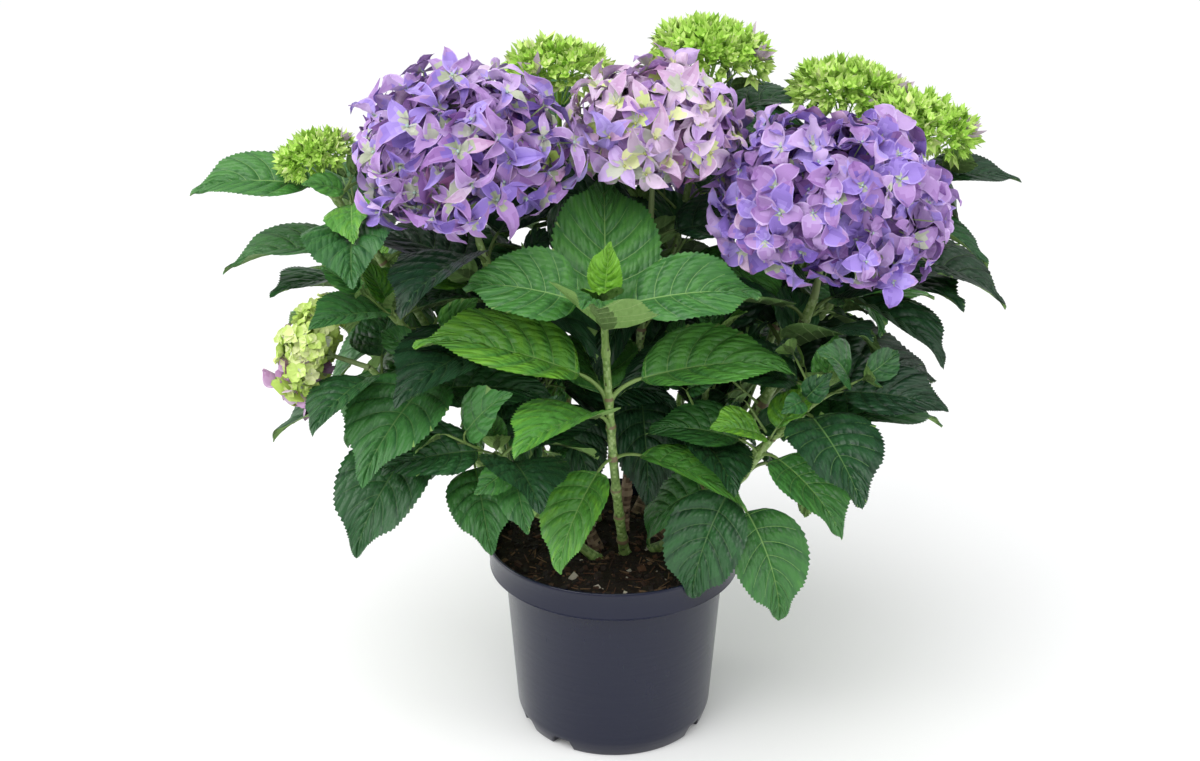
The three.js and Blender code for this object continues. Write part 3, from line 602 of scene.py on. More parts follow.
def line_tangent(shoot, t):
    foot, middle, tip = shoot["line"]
    return unit((1 - t) * (middle - foot) + t * (tip - middle))


def stem_radius(shoot, t):
    flare = 0 if "on" in shoot else FLARE * np.exp(-np.asarray(t) * shoot["length"] / FLARE_LENGTH)
    return shoot["radius"] * (1 - (1 - TAPER) * np.asarray(t) + flare)


for branches in (False, True):
    for shoot in (each for each in SHOOTS.values() if ("on" in each) == branches):
        tip = np.array(shoot["tip"], dtype=float)
        if branches:
            foot = line_points(SHOOTS[shoot["on"]], shoot["at"])
        else:
            foot = np.array([*shoot["foot"], COMPOST_TOP - shoot["radius"]])
        share = 0.5 + np.array([1, 1, -1]) * shoot["bow"]
        shoot["line"] = (foot, foot + (tip - foot) * share, tip)
        steps = line_points(shoot, np.arange(LENGTH_STEPS + 1) / LENGTH_STEPS)
        shoot["length"] = np.linalg.norm(np.diff(steps, axis=0), axis=1).sum()
        shoot["leaves"] = PAIRS[shoot.get("own", "head" if "head" in shoot else "tuft")][: shoot["pairs"]]
        leafy = np.cumsum([gap * shoot["size"] for gap, *_ in shoot["leaves"]])
        bare = np.arange(leafy[-1] + LOWER_NODES, shoot["length"] - LOWEST_NODE, LOWER_NODES)
        shoot["nodes"] = np.concatenate([leafy, bare])


def tube(points, radii, sides):
    """Rings of points round a line, with radii as one number a ring or one a point, as a mesh
    part without its paints."""
    points = np.asarray(points, dtype=float)
    count = len(points)
    along = np.gradient(points, axis=0)
    along /= np.linalg.norm(along, axis=1, keepdims=True)
    side = unit(np.cross(along[0], ASKEW))
    sides_of = []
    for step in along:
        side = unit(side - step * side.dot(step))
        sides_of.append(side)
    side = np.array(sides_of)
    other = np.cross(along, side)
    angle = math.tau * np.arange(sides) / sides
    radii = np.asarray(radii, dtype=float).reshape(count, -1, 1)
    cosine, sine = np.cos(angle)[None, :, None], np.sin(angle)[None, :, None]
    skin = points[:, None, :] + (cosine * side[:, None, :] + sine * other[:, None, :]) * radii
    here = np.arange(count - 1)[:, None] * sides + np.arange(sides)[None, :]
    beside = np.arange(count - 1)[:, None] * sides + (np.arange(sides)[None, :] + 1) % sides
    faces = np.stack([here, beside, beside + sides, here + sides], axis=-1).reshape(-1, 4)
    return skin.reshape(-1, 3), faces


def cane(shoot, start, end, seed):
    """One stem from start to end of its line, with swollen nodes, scars and flecks."""
    rng = np.random.default_rng(seed)
    length, top_node = shoot["length"], shoot["nodes"][0]
    count = max(4, int((end - start) * length / RING_STEP))
    t = np.linspace(start, end, count)
    below = (1 - t) * length
    away = np.abs(below[:, None] - shoot["nodes"][None, :])
    swell = (NODE_SWELL * np.exp(-((away / NODE_SPAN) ** 2))).sum(axis=1)
    wooden = np.zeros(count)
    if shoot["radius"] > WOODY:
        wooden = np.clip((below - top_node - WOOD_START) / WOOD_FADE, 0, 1)
    radii = stem_radius(shoot, t)[:, None] * (1 + swell[:, None])
    rough = rng.normal(0, 1, (count, STEM_SIDES))
    rough = (rough + np.roll(rough, 1, 0) + np.roll(rough, -1, 0)) / 3
    radii = radii * (1 + rough * (CANE_ROUGHNESS + BARK_ROUGHNESS * wooden[:, None]))
    sway = np.cumsum(rng.normal(0, SWAY, (count, 3)), axis=0)
    sway -= np.linspace(0, 1, count)[:, None] * sway[-1]
    skin, faces = tube(line_points(shoot, t) + sway, radii, STEM_SIDES)
    # The green grows paler upwards, with dark flecks, and with scars at the nodes below the leaves.
    patches = rng.normal(0, 1, (count - 1, STEM_SIDES)).clip(-1.5, 1.5)
    tone = CANE_TONE + TONE_PATCHES * patches + TONE_CLIMB * (1 - below[:-1, None] / length)
    paints = np.clip(np.rint(tone * (FLECK - 1)), 0, FLECK - 1).astype(int)
    paints[rng.random(paints.shape) < FLECK_SHARE] = FLECK
    near_node = away.min(axis=1)[:-1] < SCAR_SPAN
    paints[near_node & (below[:-1] > top_node + SCAR_START)] = SCAR
    bark = rng.random(count - 1) < wooden[:-1]
    paints[bark] += BARK
    paints[bark & (rng.random(count - 1) < RING_SHARE)] = BARK_SCAR
    return skin, faces, paints.ravel()


stem_paints = []
stem_colours = (*CANE_COLOURS, CANE_FLECK, CANE_SCAR, *BARK_COLOURS, BARK_CRACK, BARK_RING)
for index, colour in enumerate(stem_colours):
    kind, roughness, depth = ("cane", 0.5, 0.0003) if index < BARK else ("bark", 0.8, 0.0009)
    paint = Paint(f"{kind}_{index % BARK + 1}", colour, roughness)
    stem_paints.append(paint.grained(700, depth, detail=4, rough=0.6, stretch=(1, 1, 0.25)))

for name, slot, woody in (("woody_stems", "bark", True), ("green_stems", "green_stem", False)):
    canes = {each: shoot for each, shoot in SHOOTS.items() if (shoot["radius"] > WOODY) == woody}
    parts = [cane(shoot, 0, shoot["bare"] + STEM_OVERLAP, 50 + n) for n, shoot in enumerate(canes.values())]
    add_piece(name, joined(name, parts), stem_paints, slot, *(f"stem_{each}" for each in canes))

# ------------------------------------------------------------------ the leaves
# Broad, pointed leaves in opposite pairs, each pair turned a quarter from the one above, on short
# fleshy stalks. A blade is quilted between its curved side veins and toothed along its margin.

ASPECT = 0.7
BASE_ROUNDNESS = 0.6  # powers that shape the outline towards its base and its tip
TIP_TAPER = 0.95
PETIOLE = 0.24  # the stalk's length over the blade's
PETIOLE_RISE = 22  # degrees steeper than the blade's base
PETIOLE_RADIUS = 0.016
FOLD = math.radians(17)
NOD = (0.0006, 0.0016)  # how far a shoot's leaves tip outwards, for each mm of its tip's x and y
NOD_FRONT = 0.12
NOD_LOSS = 0.15  # how much less each lower pair does
SUNK = 0.4
# How far a leaf strays: in turn, length, lift, droop and roll, as degrees or shares.
VARY_TURN, VARY_LENGTH, VARY_LIFT, VARY_DROOP, VARY_ROLL = 22, 0.2, 16, 0.5, 34
# What a leaf tries in turn until it has room: degrees aside, degrees up, and a smaller size.
TRIES = (
    (0, 0, 1), (14, -6, 0.98), (-14, -6, 0.98), (8, 13, 0.95), (-8, 13, 0.95), (27, 0, 0.92), (-27, 0, 0.92),
    (20, -20, 0.9), (-20, -20, 0.9), (38, 10, 0.86), (-38, 10, 0.86), (0, -34, 0.86), (0, 28, 0.8),
    (48, -12, 0.76), (-48, -12, 0.76), (20, 24, 0.66), (-20, -40, 0.66),
)
MATCH = 0.4  # how near a leaf's tip lies to its own corner of the CAD mass
LIT, LIT_SHARE = 0.3, 0.08  # a few darker leaves take a lighter tone: a painted glow of light shining through them

# Where the side veins leave the midrib: the first, the rest beyond it, and how they crowd.
VEIN_START, VEIN_END, VEIN_CROWDING = 0.035, 0.80, 0.92
LAST_PANEL, BLADE_END = 0.993, 0.9985
VEIN_REACH = 0.27  # how much nearer the tip a side vein ends than it starts, over the blade's length
VEIN_SKEW = 0.85  # how much more those in the lower half climb
VEIN_RISE, VEIN_CURVE = (0.42, 0.58), 2.3  # a side vein climbs steadily, and then in a curve
VEIN_HALF_WIDTH = 0.36
VEIN_TAPER = 0.6  # the share of its width that a side vein loses by the margin
VEIN_FADE, RIB_FADE = 0.9, 0.93  # how far out, and up, veins keep their own paint
VEIN_RIDGE = 0.35  # how far side veins stand out below
MIDRIB_HALF_WIDTH = 0.85
MIDRIB_BASE = 1.15  # how wide it is at the base, where it is 1 wider than at the tip
MIDRIB_MOST = (0.5, 0.05)  # and no wider than this share of the half blade, and a little
MIDRIB_GROWTH = 0.8  # the power by which midribs are wider on longer blades
MIDRIB_RIDGE = 1.6
RIDGE_BASE = 1.1  # how high a ridge or groove is at the base, in the same way
RIDGE_FOOT = (0.3, 4)  # how the blade thickens towards the midrib: its height and its power
MIDRIB_GROOVE = 0.45
GROOVE_SIDES = (0.3, 6)
LEAF_LENGTH = 130  # the blade on which the widths of veins are given
QUILT = 0.021  # how far the panels swell between the veins, over the blade's length
QUILT_SHAPE = 0.7
QUILT_IN, QUILT_OUT = 4.5, 3.5  # how fast it starts at the midrib, and the power it ends with
UNDER_QUILT = 0.6  # the share of it that shows below
CROWDING, CROWD_RANGE = 2.7, (0.2, 1.1)  # how much less panels swell where veins crowd together
LADDER = 0.0045  # and how far the small cross veins crease them
WRINKLE = 0.0012
TOOTH = 0.0088
TOOTH_HOOK, NOTCH_HOOK = 0.009, -0.003  # how far teeth lean towards the tip, and notches away
HOOK_LOSS, TOOTH_LOSS = 0.6, 0.5  # how much less they lean, and stand out, at the tip
DRIP, DRIP_START, DRIP_LENGTH = 0.30, 0.72, 0.28  # how much the drawn-out tip is narrowed, and where
END_FADE = 3  # how fast quilting and teeth grow from the blade's ends
THICKNESS = 0.5
TEETH_VARY, SWELL_VARY = (0.6, 1.3), (0.85, 1.25)
CUPPING = (-0.5, 0.9)  # from a flat half to a deeply cupped one
# How steeply a half rises from the midrib, less where it is cupped, more at such a half's margin,
# and less at any margin.
STEEP, CUPPED, CUPPED_MARGIN, MARGIN_FLAT = 1.12, 0.45, 0.75, 0.28
WAVES, WAVE_HEIGHT, WAVE_OUT = (1.2, 2.6), (0.010, 0.030), 1.8
TIP_DIP, DIP_START, DIP_LENGTH = (0.02, 0.07), 0.7, 0.3
PANEL = 13  # the pitch that the pattern between the veins takes for a panel
HALVES_APART = 40  # how many panels lie between the patterns of the two halves
STALK_SHAPE = (1.5, 1.1, 0.9, 0.85, 0.85, 0.85, 0.6)
STALK_SIDES = 6

MOTTLE, SPECKLE = 0.022, 0.012  # how unevenly a blade is coloured, in patches and face by face
PATCH = (4, 3)  # rows and columns of a patch
PANEL_PAINTED_SHADE, MARGIN_LIGHT = 0.15, 0.3  # how much the middle of a panel is lighter than its sides by the veins, which is painted shade in the grooves, and how much the margin differs
PANEL_MEAN, MARGIN_MEAN = 0.65, 0.5  # where they turn from darker to lighter
UNDER_TONE = (0.25, 0.75)  # the underside's tone: the least, and how much of the leaf's own it adds
VEIN_TONE_VARY, UNDER_TONE_VARY = (-0.14, 0.1), (-0.2, 0.2)
DARK = 0.45  # the tone under which a leaf counts as dark
LEAF_TONES = 16
LEAF_RAMP = (
    (0.0060, 0.0210, 0.0090), (0.0150, 0.0560, 0.0220), (0.0310, 0.1150, 0.0350), (0.0530, 0.1870, 0.0420),
    (0.0920, 0.2900, 0.0480), (0.1850, 0.4400, 0.0400),
)
VEIN_RAMP = (
    (0.0300, 0.0720, 0.0240), (0.0750, 0.1650, 0.0520), (0.1450, 0.2900, 0.0850), (0.2300, 0.4300, 0.1150),
    (0.3300, 0.5600, 0.1300),
)
UNDER_RAMP = ((0.100, 0.190, 0.060), (0.170, 0.300, 0.085), (0.250, 0.430, 0.110))
VEIN_TONES = 9
UNDER_TONES = 4
CELLS = (215, 120, 40)  # cells between the veins, per metre
STALK_RAMP = ((0.120, 0.190, 0.050), (0.210, 0.320, 0.095))
UNDER_PAINT = LEAF_TONES + VEIN_TONES
UNDER_VEIN_PAINT = UNDER_PAINT + UNDER_TONES
STALK_PAINT = UNDER_VEIN_PAINT + 1


def ramp(anchors, count):
    """Colours spaced evenly along a line of anchors."""
    steps, at = np.linspace(0, len(anchors) - 1, count), range(len(anchors))
    return [tuple(np.interp(step, at, channel) for channel in zip(*anchors)) for step in steps]


def outline(s):
    """Half the blade's width from base to tip, over its greatest half width."""
    widest = BASE_ROUNDNESS / (BASE_ROUNDNESS + TIP_TAPER)
    most = widest**BASE_ROUNDNESS * (1 - widest) ** TIP_TAPER
    s = np.clip(s, 0, 1)
    return s**BASE_ROUNDNESS * (1 - s) ** TIP_TAPER / most


def leaf_plan(shoot, leaf, row, side, below, numbers, step):
    """The places and directions that shape one leaf, as in the source."""
    length, lift, droop, swing = leaf
    x, y, _ = shoot["tip"]
    nod = shoot.get("nod", (x * NOD[0], y * NOD[1] - NOD_FRONT))
    axis = unit((*(off * (1 - NOD_LOSS * row) for off in nod), 1))
    other = unit(np.cross(axis, (1, 0, 0)))
    across = np.cross(other, axis)
    turn, long, rise, bend, twist = (number - 0.5 for number in numbers)
    azimuth = math.radians(shoot["turn"] + 90 * row + 180 * side + swing + VARY_TURN * turn + step[0])
    flat = across * math.cos(azimuth) + other * math.sin(azimuth)
    t = 1 - below / shoot["length"]
    return dict(
        axis=axis, flat=flat, level=np.cross(axis, flat),
        blade=length * shoot["size"] * (1 + VARY_LENGTH * long) * step[2],
        lift=math.radians(lift + VARY_LIFT * rise + step[1]),
        droop=math.radians(droop * (1 + VARY_DROOP * bend)),
        roll=math.radians(VARY_ROLL * twist),
        start=line_points(shoot, t) + flat * SUNK * stem_radius(shoot, t),
    )


def midrib(plan, s):
    """Points along a leaf's midrib, with the directions along, across and out of the blade."""
    s = np.asarray(s, dtype=float)[..., None]
    axis, flat, blade, lift, droop = (plan[key] for key in ("axis", "flat", "blade", "lift", "droop"))
    rise, stalk = lift + math.radians(PETIOLE_RISE), blade * PETIOLE
    pitch = lift - droop * s
    out = stalk * math.cos(rise) + blade * (math.sin(lift) - np.sin(pitch)) / droop
    climb = stalk * math.sin(rise) + blade * (np.cos(pitch) - math.cos(lift)) / droop
    face = axis * np.cos(pitch) - flat * np.sin(pitch)
    cosine, sine = math.cos(plan["roll"]), math.sin(plan["roll"])
    across = plan["level"] * cosine + face * sine
    normal = face * cosine - plan["level"] * sine
    return plan["start"] + flat * out + axis * climb, across, normal


def sheet_faces(rows, columns, flipped):
    here = np.arange(rows - 1)[:, None] * columns + np.arange(columns - 1)[None, :]
    faces = np.stack([here, here + columns, here + columns + 1, here + 1], axis=-1)
    return (faces[..., ::-1] if flipped else faces).reshape(-1, 4)


class Net:
    """The net over which a blade is shaped: so many side veins on each half, so many rows in the
    panel between two veins, columns from the midrib out, and those that the underside keeps."""

    def __init__(self, veins, panel_rows, columns, under):
        # Where a row leaves the midrib, on which side of a vein it runs, how far through its panel
        # it is, how far its margin stands out as a tooth, and which way its cross veins bend.
        rows = [(0.0, 0, 0.0, 0.0, 0), (0.02, 0, 0.5, 0.3, 0)]
        leave = VEIN_START + VEIN_END * np.linspace(0, 1, veins) ** VEIN_CROWDING
        for number, (here, after) in enumerate(zip(leave, [*leave[1:], LAST_PANEL])):
            rows += [(here, -1, 0.0, 1.0, 0), (here, 1, 0.0, 1.0, 0)]
            for row in range(1, panel_rows + 1):
                share = row / (panel_rows + 1)
                bend = 1 if (number + row // 3) % 2 else -1
                rows.append((here + (after - here) * share, 0, share, -1.0 if row % 2 else 1.0, bend))
        self.rows = np.array([*rows, (BLADE_END, 0, 1.0, 0.0, 0)])
        self.panel_of = np.cumsum(self.rows[:, [1]] < 0, axis=0)
        half, count = np.array(columns), len(columns)
        place = np.arange(2 * count + 1) - count
        self.across = np.concatenate([-half[::-1], [0.0], half])  # the midrib stands between its edges
        self.side = np.sign(place)[None, :]
        self.ladder = np.cos(math.pi * (np.abs(place) - 1).clip(0))
        kept = np.array(under) + 1
        self.under = count + np.concatenate([-kept[::-1], [0], kept])
        self.top_faces = sheet_faces(len(self.rows), len(self.across), False)
        self.under_faces = sheet_faces(len(self.rows), len(self.under), True)


LARGE_LEAF = Net(8, 7, (0.0, 0.11, 0.25, 0.4, 0.55, 0.7, 0.85, 1.0), (2, 5, 7))
SMALL_LEAF = Net(5, 3, (0.0, 0.3, 0.65, 1.0), (1, 3))


def vein_climb(u):
    """How much of its climb towards the tip a side vein has made, at u of the way out."""
    return VEIN_RISE[0] * u + VEIN_RISE[1] * u**VEIN_CURVE


def blade_skin(plan, net, rng):
    """The points of a blade's top and underside and their places among its veins, each as rows by
    columns: metres out from the midrib, and along it."""
    blade = plan["blade"]
    leave, strip, panel, tooth, bend = (net.rows[:, [k]] for k in range(5))
    u, side = np.abs(net.across)[None, :], net.side
    edge = np.abs(side)
    last = (u == 1).astype(float)
    fade = np.clip(np.sin(math.pi * np.clip(leave, 0, 1)) * END_FADE, 0, 1)
    start = leave + strip * (VEIN_HALF_WIDTH / max(blade, LEAF_LENGTH)) * (1 - VEIN_TAPER * u)
    margin = start + VEIN_REACH * np.sin(math.pi * np.clip(start, 0, 1) ** VEIN_SKEW)
    along = start + (margin - start) * vein_climb(u)
    along = along + last * np.where(tooth > 0, TOOTH_HOOK, NOTCH_HOOK) * fade * (1 - HOOK_LOSS * leave)
    drip = 1 - DRIP * np.sin(math.pi * np.clip((margin - DRIP_START) / DRIP_LENGTH, 0, 1))
    half = blade * ASPECT / 2 * outline(margin) * drip
    rib = MIDRIB_HALF_WIDTH * (MIDRIB_BASE - leave) * (blade / LEAF_LENGTH) ** MIDRIB_GROWTH
    wide = edge * (np.minimum(rib, half * MIDRIB_MOST[0] + MIDRIB_MOST[1]) * (1 - u) + half * u)
    teeth = last * tooth * TOOTH * blade * fade * rng.uniform(*TEETH_VARY, tooth.shape)
    wide = wide + teeth * (1 - TOOTH_LOSS * leave)
    # Panels swell less where the veins crowd together, and not at all at the midrib and margin.
    crowd = 1 + VEIN_REACH * CROWDING * np.cos(math.pi * np.clip(start, 0, 1)) * vein_climb(u)
    envelope = np.clip(u * QUILT_IN, 0, 1) * (1 - u**QUILT_OUT) * fade * np.clip(crowd, *CROWD_RANGE)
    swell = QUILT * blade * np.abs(np.sin(math.pi * panel)) ** QUILT_SHAPE * envelope
    swell = swell * rng.uniform(*SWELL_VARY)
    crease = LADDER * blade * net.ladder[None, :] * bend * np.sin(math.pi * panel) * envelope
    crease = crease + rng.normal(0, WRINKLE * blade, swell.shape) * envelope * (strip == 0)
    beside = -GROOVE_SIDES[0] * (1 - u) ** GROOVE_SIDES[1]
    groove = np.where(edge > 0, beside, -MIDRIB_GROOVE) * (RIDGE_BASE - leave)
    # Each half is cupped or flat in its own measure, and its margin waves.
    cups, waves, phases = rng.uniform(*CUPPING, 2), rng.uniform(*WAVES, 2), rng.uniform(0, math.tau, 2)
    cup, wave, phase = (np.where(side < 0, *each) for each in (cups, waves, phases))
    steepness = STEEP - CUPPED * cup + CUPPED_MARGIN * cup * u - MARGIN_FLAT * u
    rise = wide * math.sin(FOLD) * steepness
    ruffle = np.sin(math.tau * wave * leave + phase) * rng.uniform(*WAVE_HEIGHT) * blade
    rise = rise + ruffle * u**WAVE_OUT * fade
    dip = np.clip((along - DIP_START) / DIP_LENGTH, 0, 1) ** 2
    rise = rise - rng.uniform(*TIP_DIP) * blade * dip
    place, over, out = midrib(plan, np.clip(along, 0, 1.02))
    flat = place + over * (side * wide * math.cos(FOLD))[..., None] + out * (rise + groove)[..., None]
    beside = RIDGE_FOOT[0] * (1 - u) ** RIDGE_FOOT[1]
    ridge = np.where(edge > 0, beside, MIDRIB_RIDGE) * (RIDGE_BASE - leave)
    ridge = ridge + VEIN_RIDGE * np.abs(strip)
    top = flat + out * (swell + crease)[..., None]
    under = flat + out * (UNDER_QUILT * swell - (THICKNESS + ridge) * (1 - last))[..., None]
    spread = (wide, (net.panel_of + panel + side * HALVES_APART) * PANEL, rng.uniform(0, 1000))
    return top, under, np.stack(np.broadcast_arrays(*spread), axis=-1) * 0.001


def steps_of(shade, count):
    """The nearest of `count` tones to a shade from 0 to 1."""
    return np.clip(np.rint(np.asarray(shade) * (count - 1)), 0, count - 1).astype(int)


def leaf_parts(plan, tone, rng, net=LARGE_LEAF):
    """A whole leaf: the blade's two faces and its stalk, with the paint of every face."""
    top, under, places = blade_skin(plan, net, rng)
    leave, panel = net.rows[:-1, [0]], net.rows[:-1, [2]]
    strip = (net.rows[:-1, [1]] < 0) & (net.rows[1:, [1]] > 0)
    middle = (np.abs(net.across[:-1]) + np.abs(net.across[1:]))[None, :] / 2
    mottle = rng.normal(0, 1, (len(net.rows) // PATCH[0] + 2, 7))
    rows, columns = np.arange(len(net.rows) - 1) // PATCH[0], np.arange(len(net.across) - 1) // PATCH[1]
    shade = tone + MOTTLE * mottle[rows][:, columns] + rng.normal(0, SPECKLE, (len(rows), len(columns)))
    # Painted shade: a panel is darker in the grooves by its veins and lighter on its swell.
    shade = shade + PANEL_PAINTED_SHADE * (panel * (1 - panel) * 4 - PANEL_MEAN) * (1 - leave**2)
    shade = shade + (tone - MARGIN_MEAN) * MARGIN_LIGHT * middle
    vein = LEAF_TONES + steps_of(tone + rng.uniform(*VEIN_TONE_VARY), VEIN_TONES)
    veined = (strip & (middle < VEIN_FADE)) | ((middle < 0.001) & (leave < RIB_FADE))
    paints = np.where(veined, vein, steps_of(shade, LEAF_TONES))
    under_tone = UNDER_TONE[0] + tone * UNDER_TONE[1] + rng.uniform(*UNDER_TONE_VARY)
    below = UNDER_PAINT + steps_of(under_tone, UNDER_TONES)
    under_paints = np.where(strip, UNDER_VEIN_PAINT, np.full((len(strip), len(net.under) - 1), below))
    # The stalk bends from the shoot into the line of the blade.
    base = midrib(plan, 0)[0]
    arrive = plan["flat"] * math.cos(plan["lift"]) + plan["axis"] * math.sin(plan["lift"])
    bend = base - arrive * np.linalg.norm(base - plan["start"]) * 0.5
    t = np.linspace(0, 1, len(STALK_SHAPE))[:, None]
    line = (1 - t) ** 2 * plan["start"] + 2 * t * (1 - t) * bend + t**2 * (base + arrive * 1.5)
    radii = plan["blade"] * PETIOLE_RADIUS * np.array(STALK_SHAPE)
    stalk, stalk_faces = tube(line, radii, STALK_SIDES)
    stalk_paints = np.full(len(stalk_faces), STALK_PAINT + int(tone > DARK))
    lower, lower_places = under[:, net.under].reshape(-1, 3), places[:, net.under].reshape(-1, 3)
    return [
        (top.reshape(-1, 3), net.top_faces, paints.ravel(), places.reshape(-1, 3)),
        (lower, net.under_faces, under_paints.ravel(), lower_places),
        (stalk, stalk_faces, stalk_paints, stalk * 0.001),
    ]


def leaves_of(name, index):
    """Every leaf of a shoot that has its place in the CAD mass: its plan, and its pair's row."""
    shoot = SHOOTS[name]
    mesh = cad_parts[f"leaves_{name}"].data
    corners = np.empty(len(mesh.vertices) * 3)
    mesh.vertices.foreach_get("co", corners)
    corners = corners.reshape(-1, 3) * 1000
    stream, below = draws(index + 1), 0
    for row, (gap, *kinds) in enumerate(shoot["leaves"]):
        below += gap * shoot["size"]
        for side in (0, 1):
            numbers = [next(stream) for _ in range(5)]
            for step in TRIES:
                plan = leaf_plan(shoot, kinds[-side], row, side, below, numbers, step)
                tip = midrib(plan, 1)[0]
                if np.linalg.norm(corners - tip, axis=1).min() < MATCH:
                    yield plan, row
                    break


leaf_paints = []
for kind, anchors, count, roughness, depth in (
    ("leaf", LEAF_RAMP, LEAF_TONES, 0.32, -0.0021),
    ("leaf_vein", VEIN_RAMP, VEIN_TONES, 0.42, 0.0001),
    ("leaf_underside", UNDER_RAMP, UNDER_TONES, 0.64, 0.0016),
    ("leaf_underside_vein", ((0.400, 0.540, 0.230),), 1, 0.6, 0.0001),
    ("leaf_stalk", STALK_RAMP, 2, 0.45, 0.0002),
):
    for index, colour in enumerate(ramp(anchors, count)):
        paint = Paint(f"{kind}_{index + 1}", colour, roughness, specular_ior_level=0.34)
        grit = paint.noise(paint.place(), 700, 3)
        if kind in ("leaf", "leaf_underside"):
            # Small cross veins part the panels into cells that lie across them.
            spot = paint.node("ShaderNodeAttribute", {"attribute_name": "among_veins"}, output="Vector")
            cells = paint.node("ShaderNodeMapping", {}, Vector=spot, Scale=CELLS)
            pattern = {"feature": "F1"}
            net = paint.node("ShaderNodeTexVoronoi", pattern, Vector=cells, Scale=1.0, Randomness=0.8)
            grit = net + grit * 0.15
        paint.relief(grit, depth)
        leaf_paints.append(paint)

FOLIAGE = {
    "foliage_front": ("front", "inner_left", "inner_right", "right_low", "left_bottom"),
    "foliage_left": ("left", "left_middle", "left_upper", "left_low", "left_side"),
    "foliage_right": ("right", "right_middle", "right_upper", "right_side", "right_back"),
    "foliage_back": (
        "middle", "back_left_upper", "back_right_upper", "inner_back", "back_left", "back_right", "back",
    ),
}
# How much lighter the top pairs of a shoot without a head are, and those below.
YOUNG, GROWN = {0: 0.26, 1: -0.08, 2: -0.16}, 0.08
TONE_LOSS = 0.02  # how much darker each lower pair is
TONE_VARY = 0.055
LEAF_SHARP = 75

order = list(SHOOTS)
twigs, leafy_pieces = [], []
for piece_name, names in FOLIAGE.items():
    parts = []
    for name in names:
        index, shoot = order.index(name), SHOOTS[name]
        rng = np.random.default_rng(900 + index)
        for plan, row in leaves_of(name, index):
            young = 0 if "head" in shoot else YOUNG.get(row, GROWN)
            # Painted glow: a few dark leaves take a lighter tone, as if light shone through them.
            glow = LIT * (rng.random() < LIT_SHARE and shoot["tone"] < DARK)
            tone = shoot["tone"] + young + glow - TONE_LOSS * row + rng.normal(0, TONE_VARY)
            parts += leaf_parts(plan, float(np.clip(tone, 0.04, 1)), rng)
        twigs.append(cane(shoot, shoot["bare"], 1, 300 + index))
    mesh = joined(piece_name, parts, LEAF_SHARP)
    masses = (f"leaves_{name}" for name in names)
    leafy_pieces.append(add_piece(piece_name, mesh, leaf_paints, "foliage", *masses))

# Side twigs carry the growth on: they start in the axils of the larger leaves with up to three
# pairs of small ones each, wherever there is room between the leaves, limbs and heads.
SIDE_TWIG = (16, 50)
SIDE_TWIG_SHAPE = (1.7, 1.2, 1.1, 1.0)
SIDE_TWIG_SIDES = 7
SIDE_TWIG_PAINT = 2
# Of each pair: how far down the twig it stands, its blades' length and its lift.
SIDE_PAIRS = ((0.0, (28, 42), 50), (0.35, (50, 76), 24), (0.7, (60, 90), 8))
SIDE_LIFT_VARY, SIDE_DROOP, SIDE_ROLL = 14, (18, 40), 24
SIDE_ROWS = 1  # the first pair of leaves with side twigs, on a shoot without a head
SIDE_TRIES = 3
SIDE_LOW = 232  # small leaves stay above this height, clear of the pot's mouth
NO_SIDES = ("front", "right_low", "left_low")  # shoots without side twigs

# All that stands already, as trees of faces to test against.
standing = []
for piece in [*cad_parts.values(), *leafy_pieces]:
    if not piece.name.startswith("leaves_"):
        corners = [corner.co for corner in piece.data.vertices]
        faces = [tuple(face.vertices) for face in piece.data.polygons]
        standing.append(BVHTree.FromPolygons(corners, faces))

# The middle and radius of the room round each head that no small leaf enters.
HEAD_ROOM_RISE, HEAD_ROOM = 0.3, 0.46
head_rooms = []
for shoot in SHOOTS.values():
    if "head" in shoot:
        head = shoot["head"]
        rise = unit((*head["lean"], 1)) * (head["stalk"] + head["width"] * HEAD_ROOM_RISE)
        head_rooms.append((shoot["line"][2] + rise, head["width"] * HEAD_ROOM))


def room_for(top, under):
    """Whether a small blade touches nothing that stands; if so, it stands from then on."""
    points = np.concatenate([top[0], under[0]])
    faces = [*top[1].tolist(), *(under[1] + len(top[0])).tolist()]
    if points[:, 2].min() < SIDE_LOW:
        return False
    if any(np.linalg.norm(points - spot, axis=1).min() < radius for spot, radius in head_rooms):
        return False
    tree = BVHTree.FromPolygons((points * 0.001).tolist(), faces)
    if any(tree.overlap(other) for other in standing):
        return False
    standing.append(tree)
    return True


def small_leaf(shoot, start, lean, spread, blades, lift, rng):
    """One small leaf's parts, or none where no try finds room for it."""
    flat = unit(spread - lean * lean.dot(spread))
    for _ in range(SIDE_TRIES):
        plan = dict(
            start=start, axis=lean, flat=flat, level=np.cross(lean, flat), blade=rng.uniform(*blades),
            lift=math.radians(lift + rng.uniform(-SIDE_LIFT_VARY, SIDE_LIFT_VARY)),
            droop=math.radians(rng.uniform(*SIDE_DROOP)),
            roll=math.radians(rng.uniform(-SIDE_ROLL, SIDE_ROLL)),
        )
        tone = float(np.clip(shoot["tone"] + rng.normal(0.08, 0.08), 0.1, 0.9))
        parts = leaf_parts(plan, tone, rng, SMALL_LEAF)
        if room_for(*parts[:2]):
            return parts
    return []


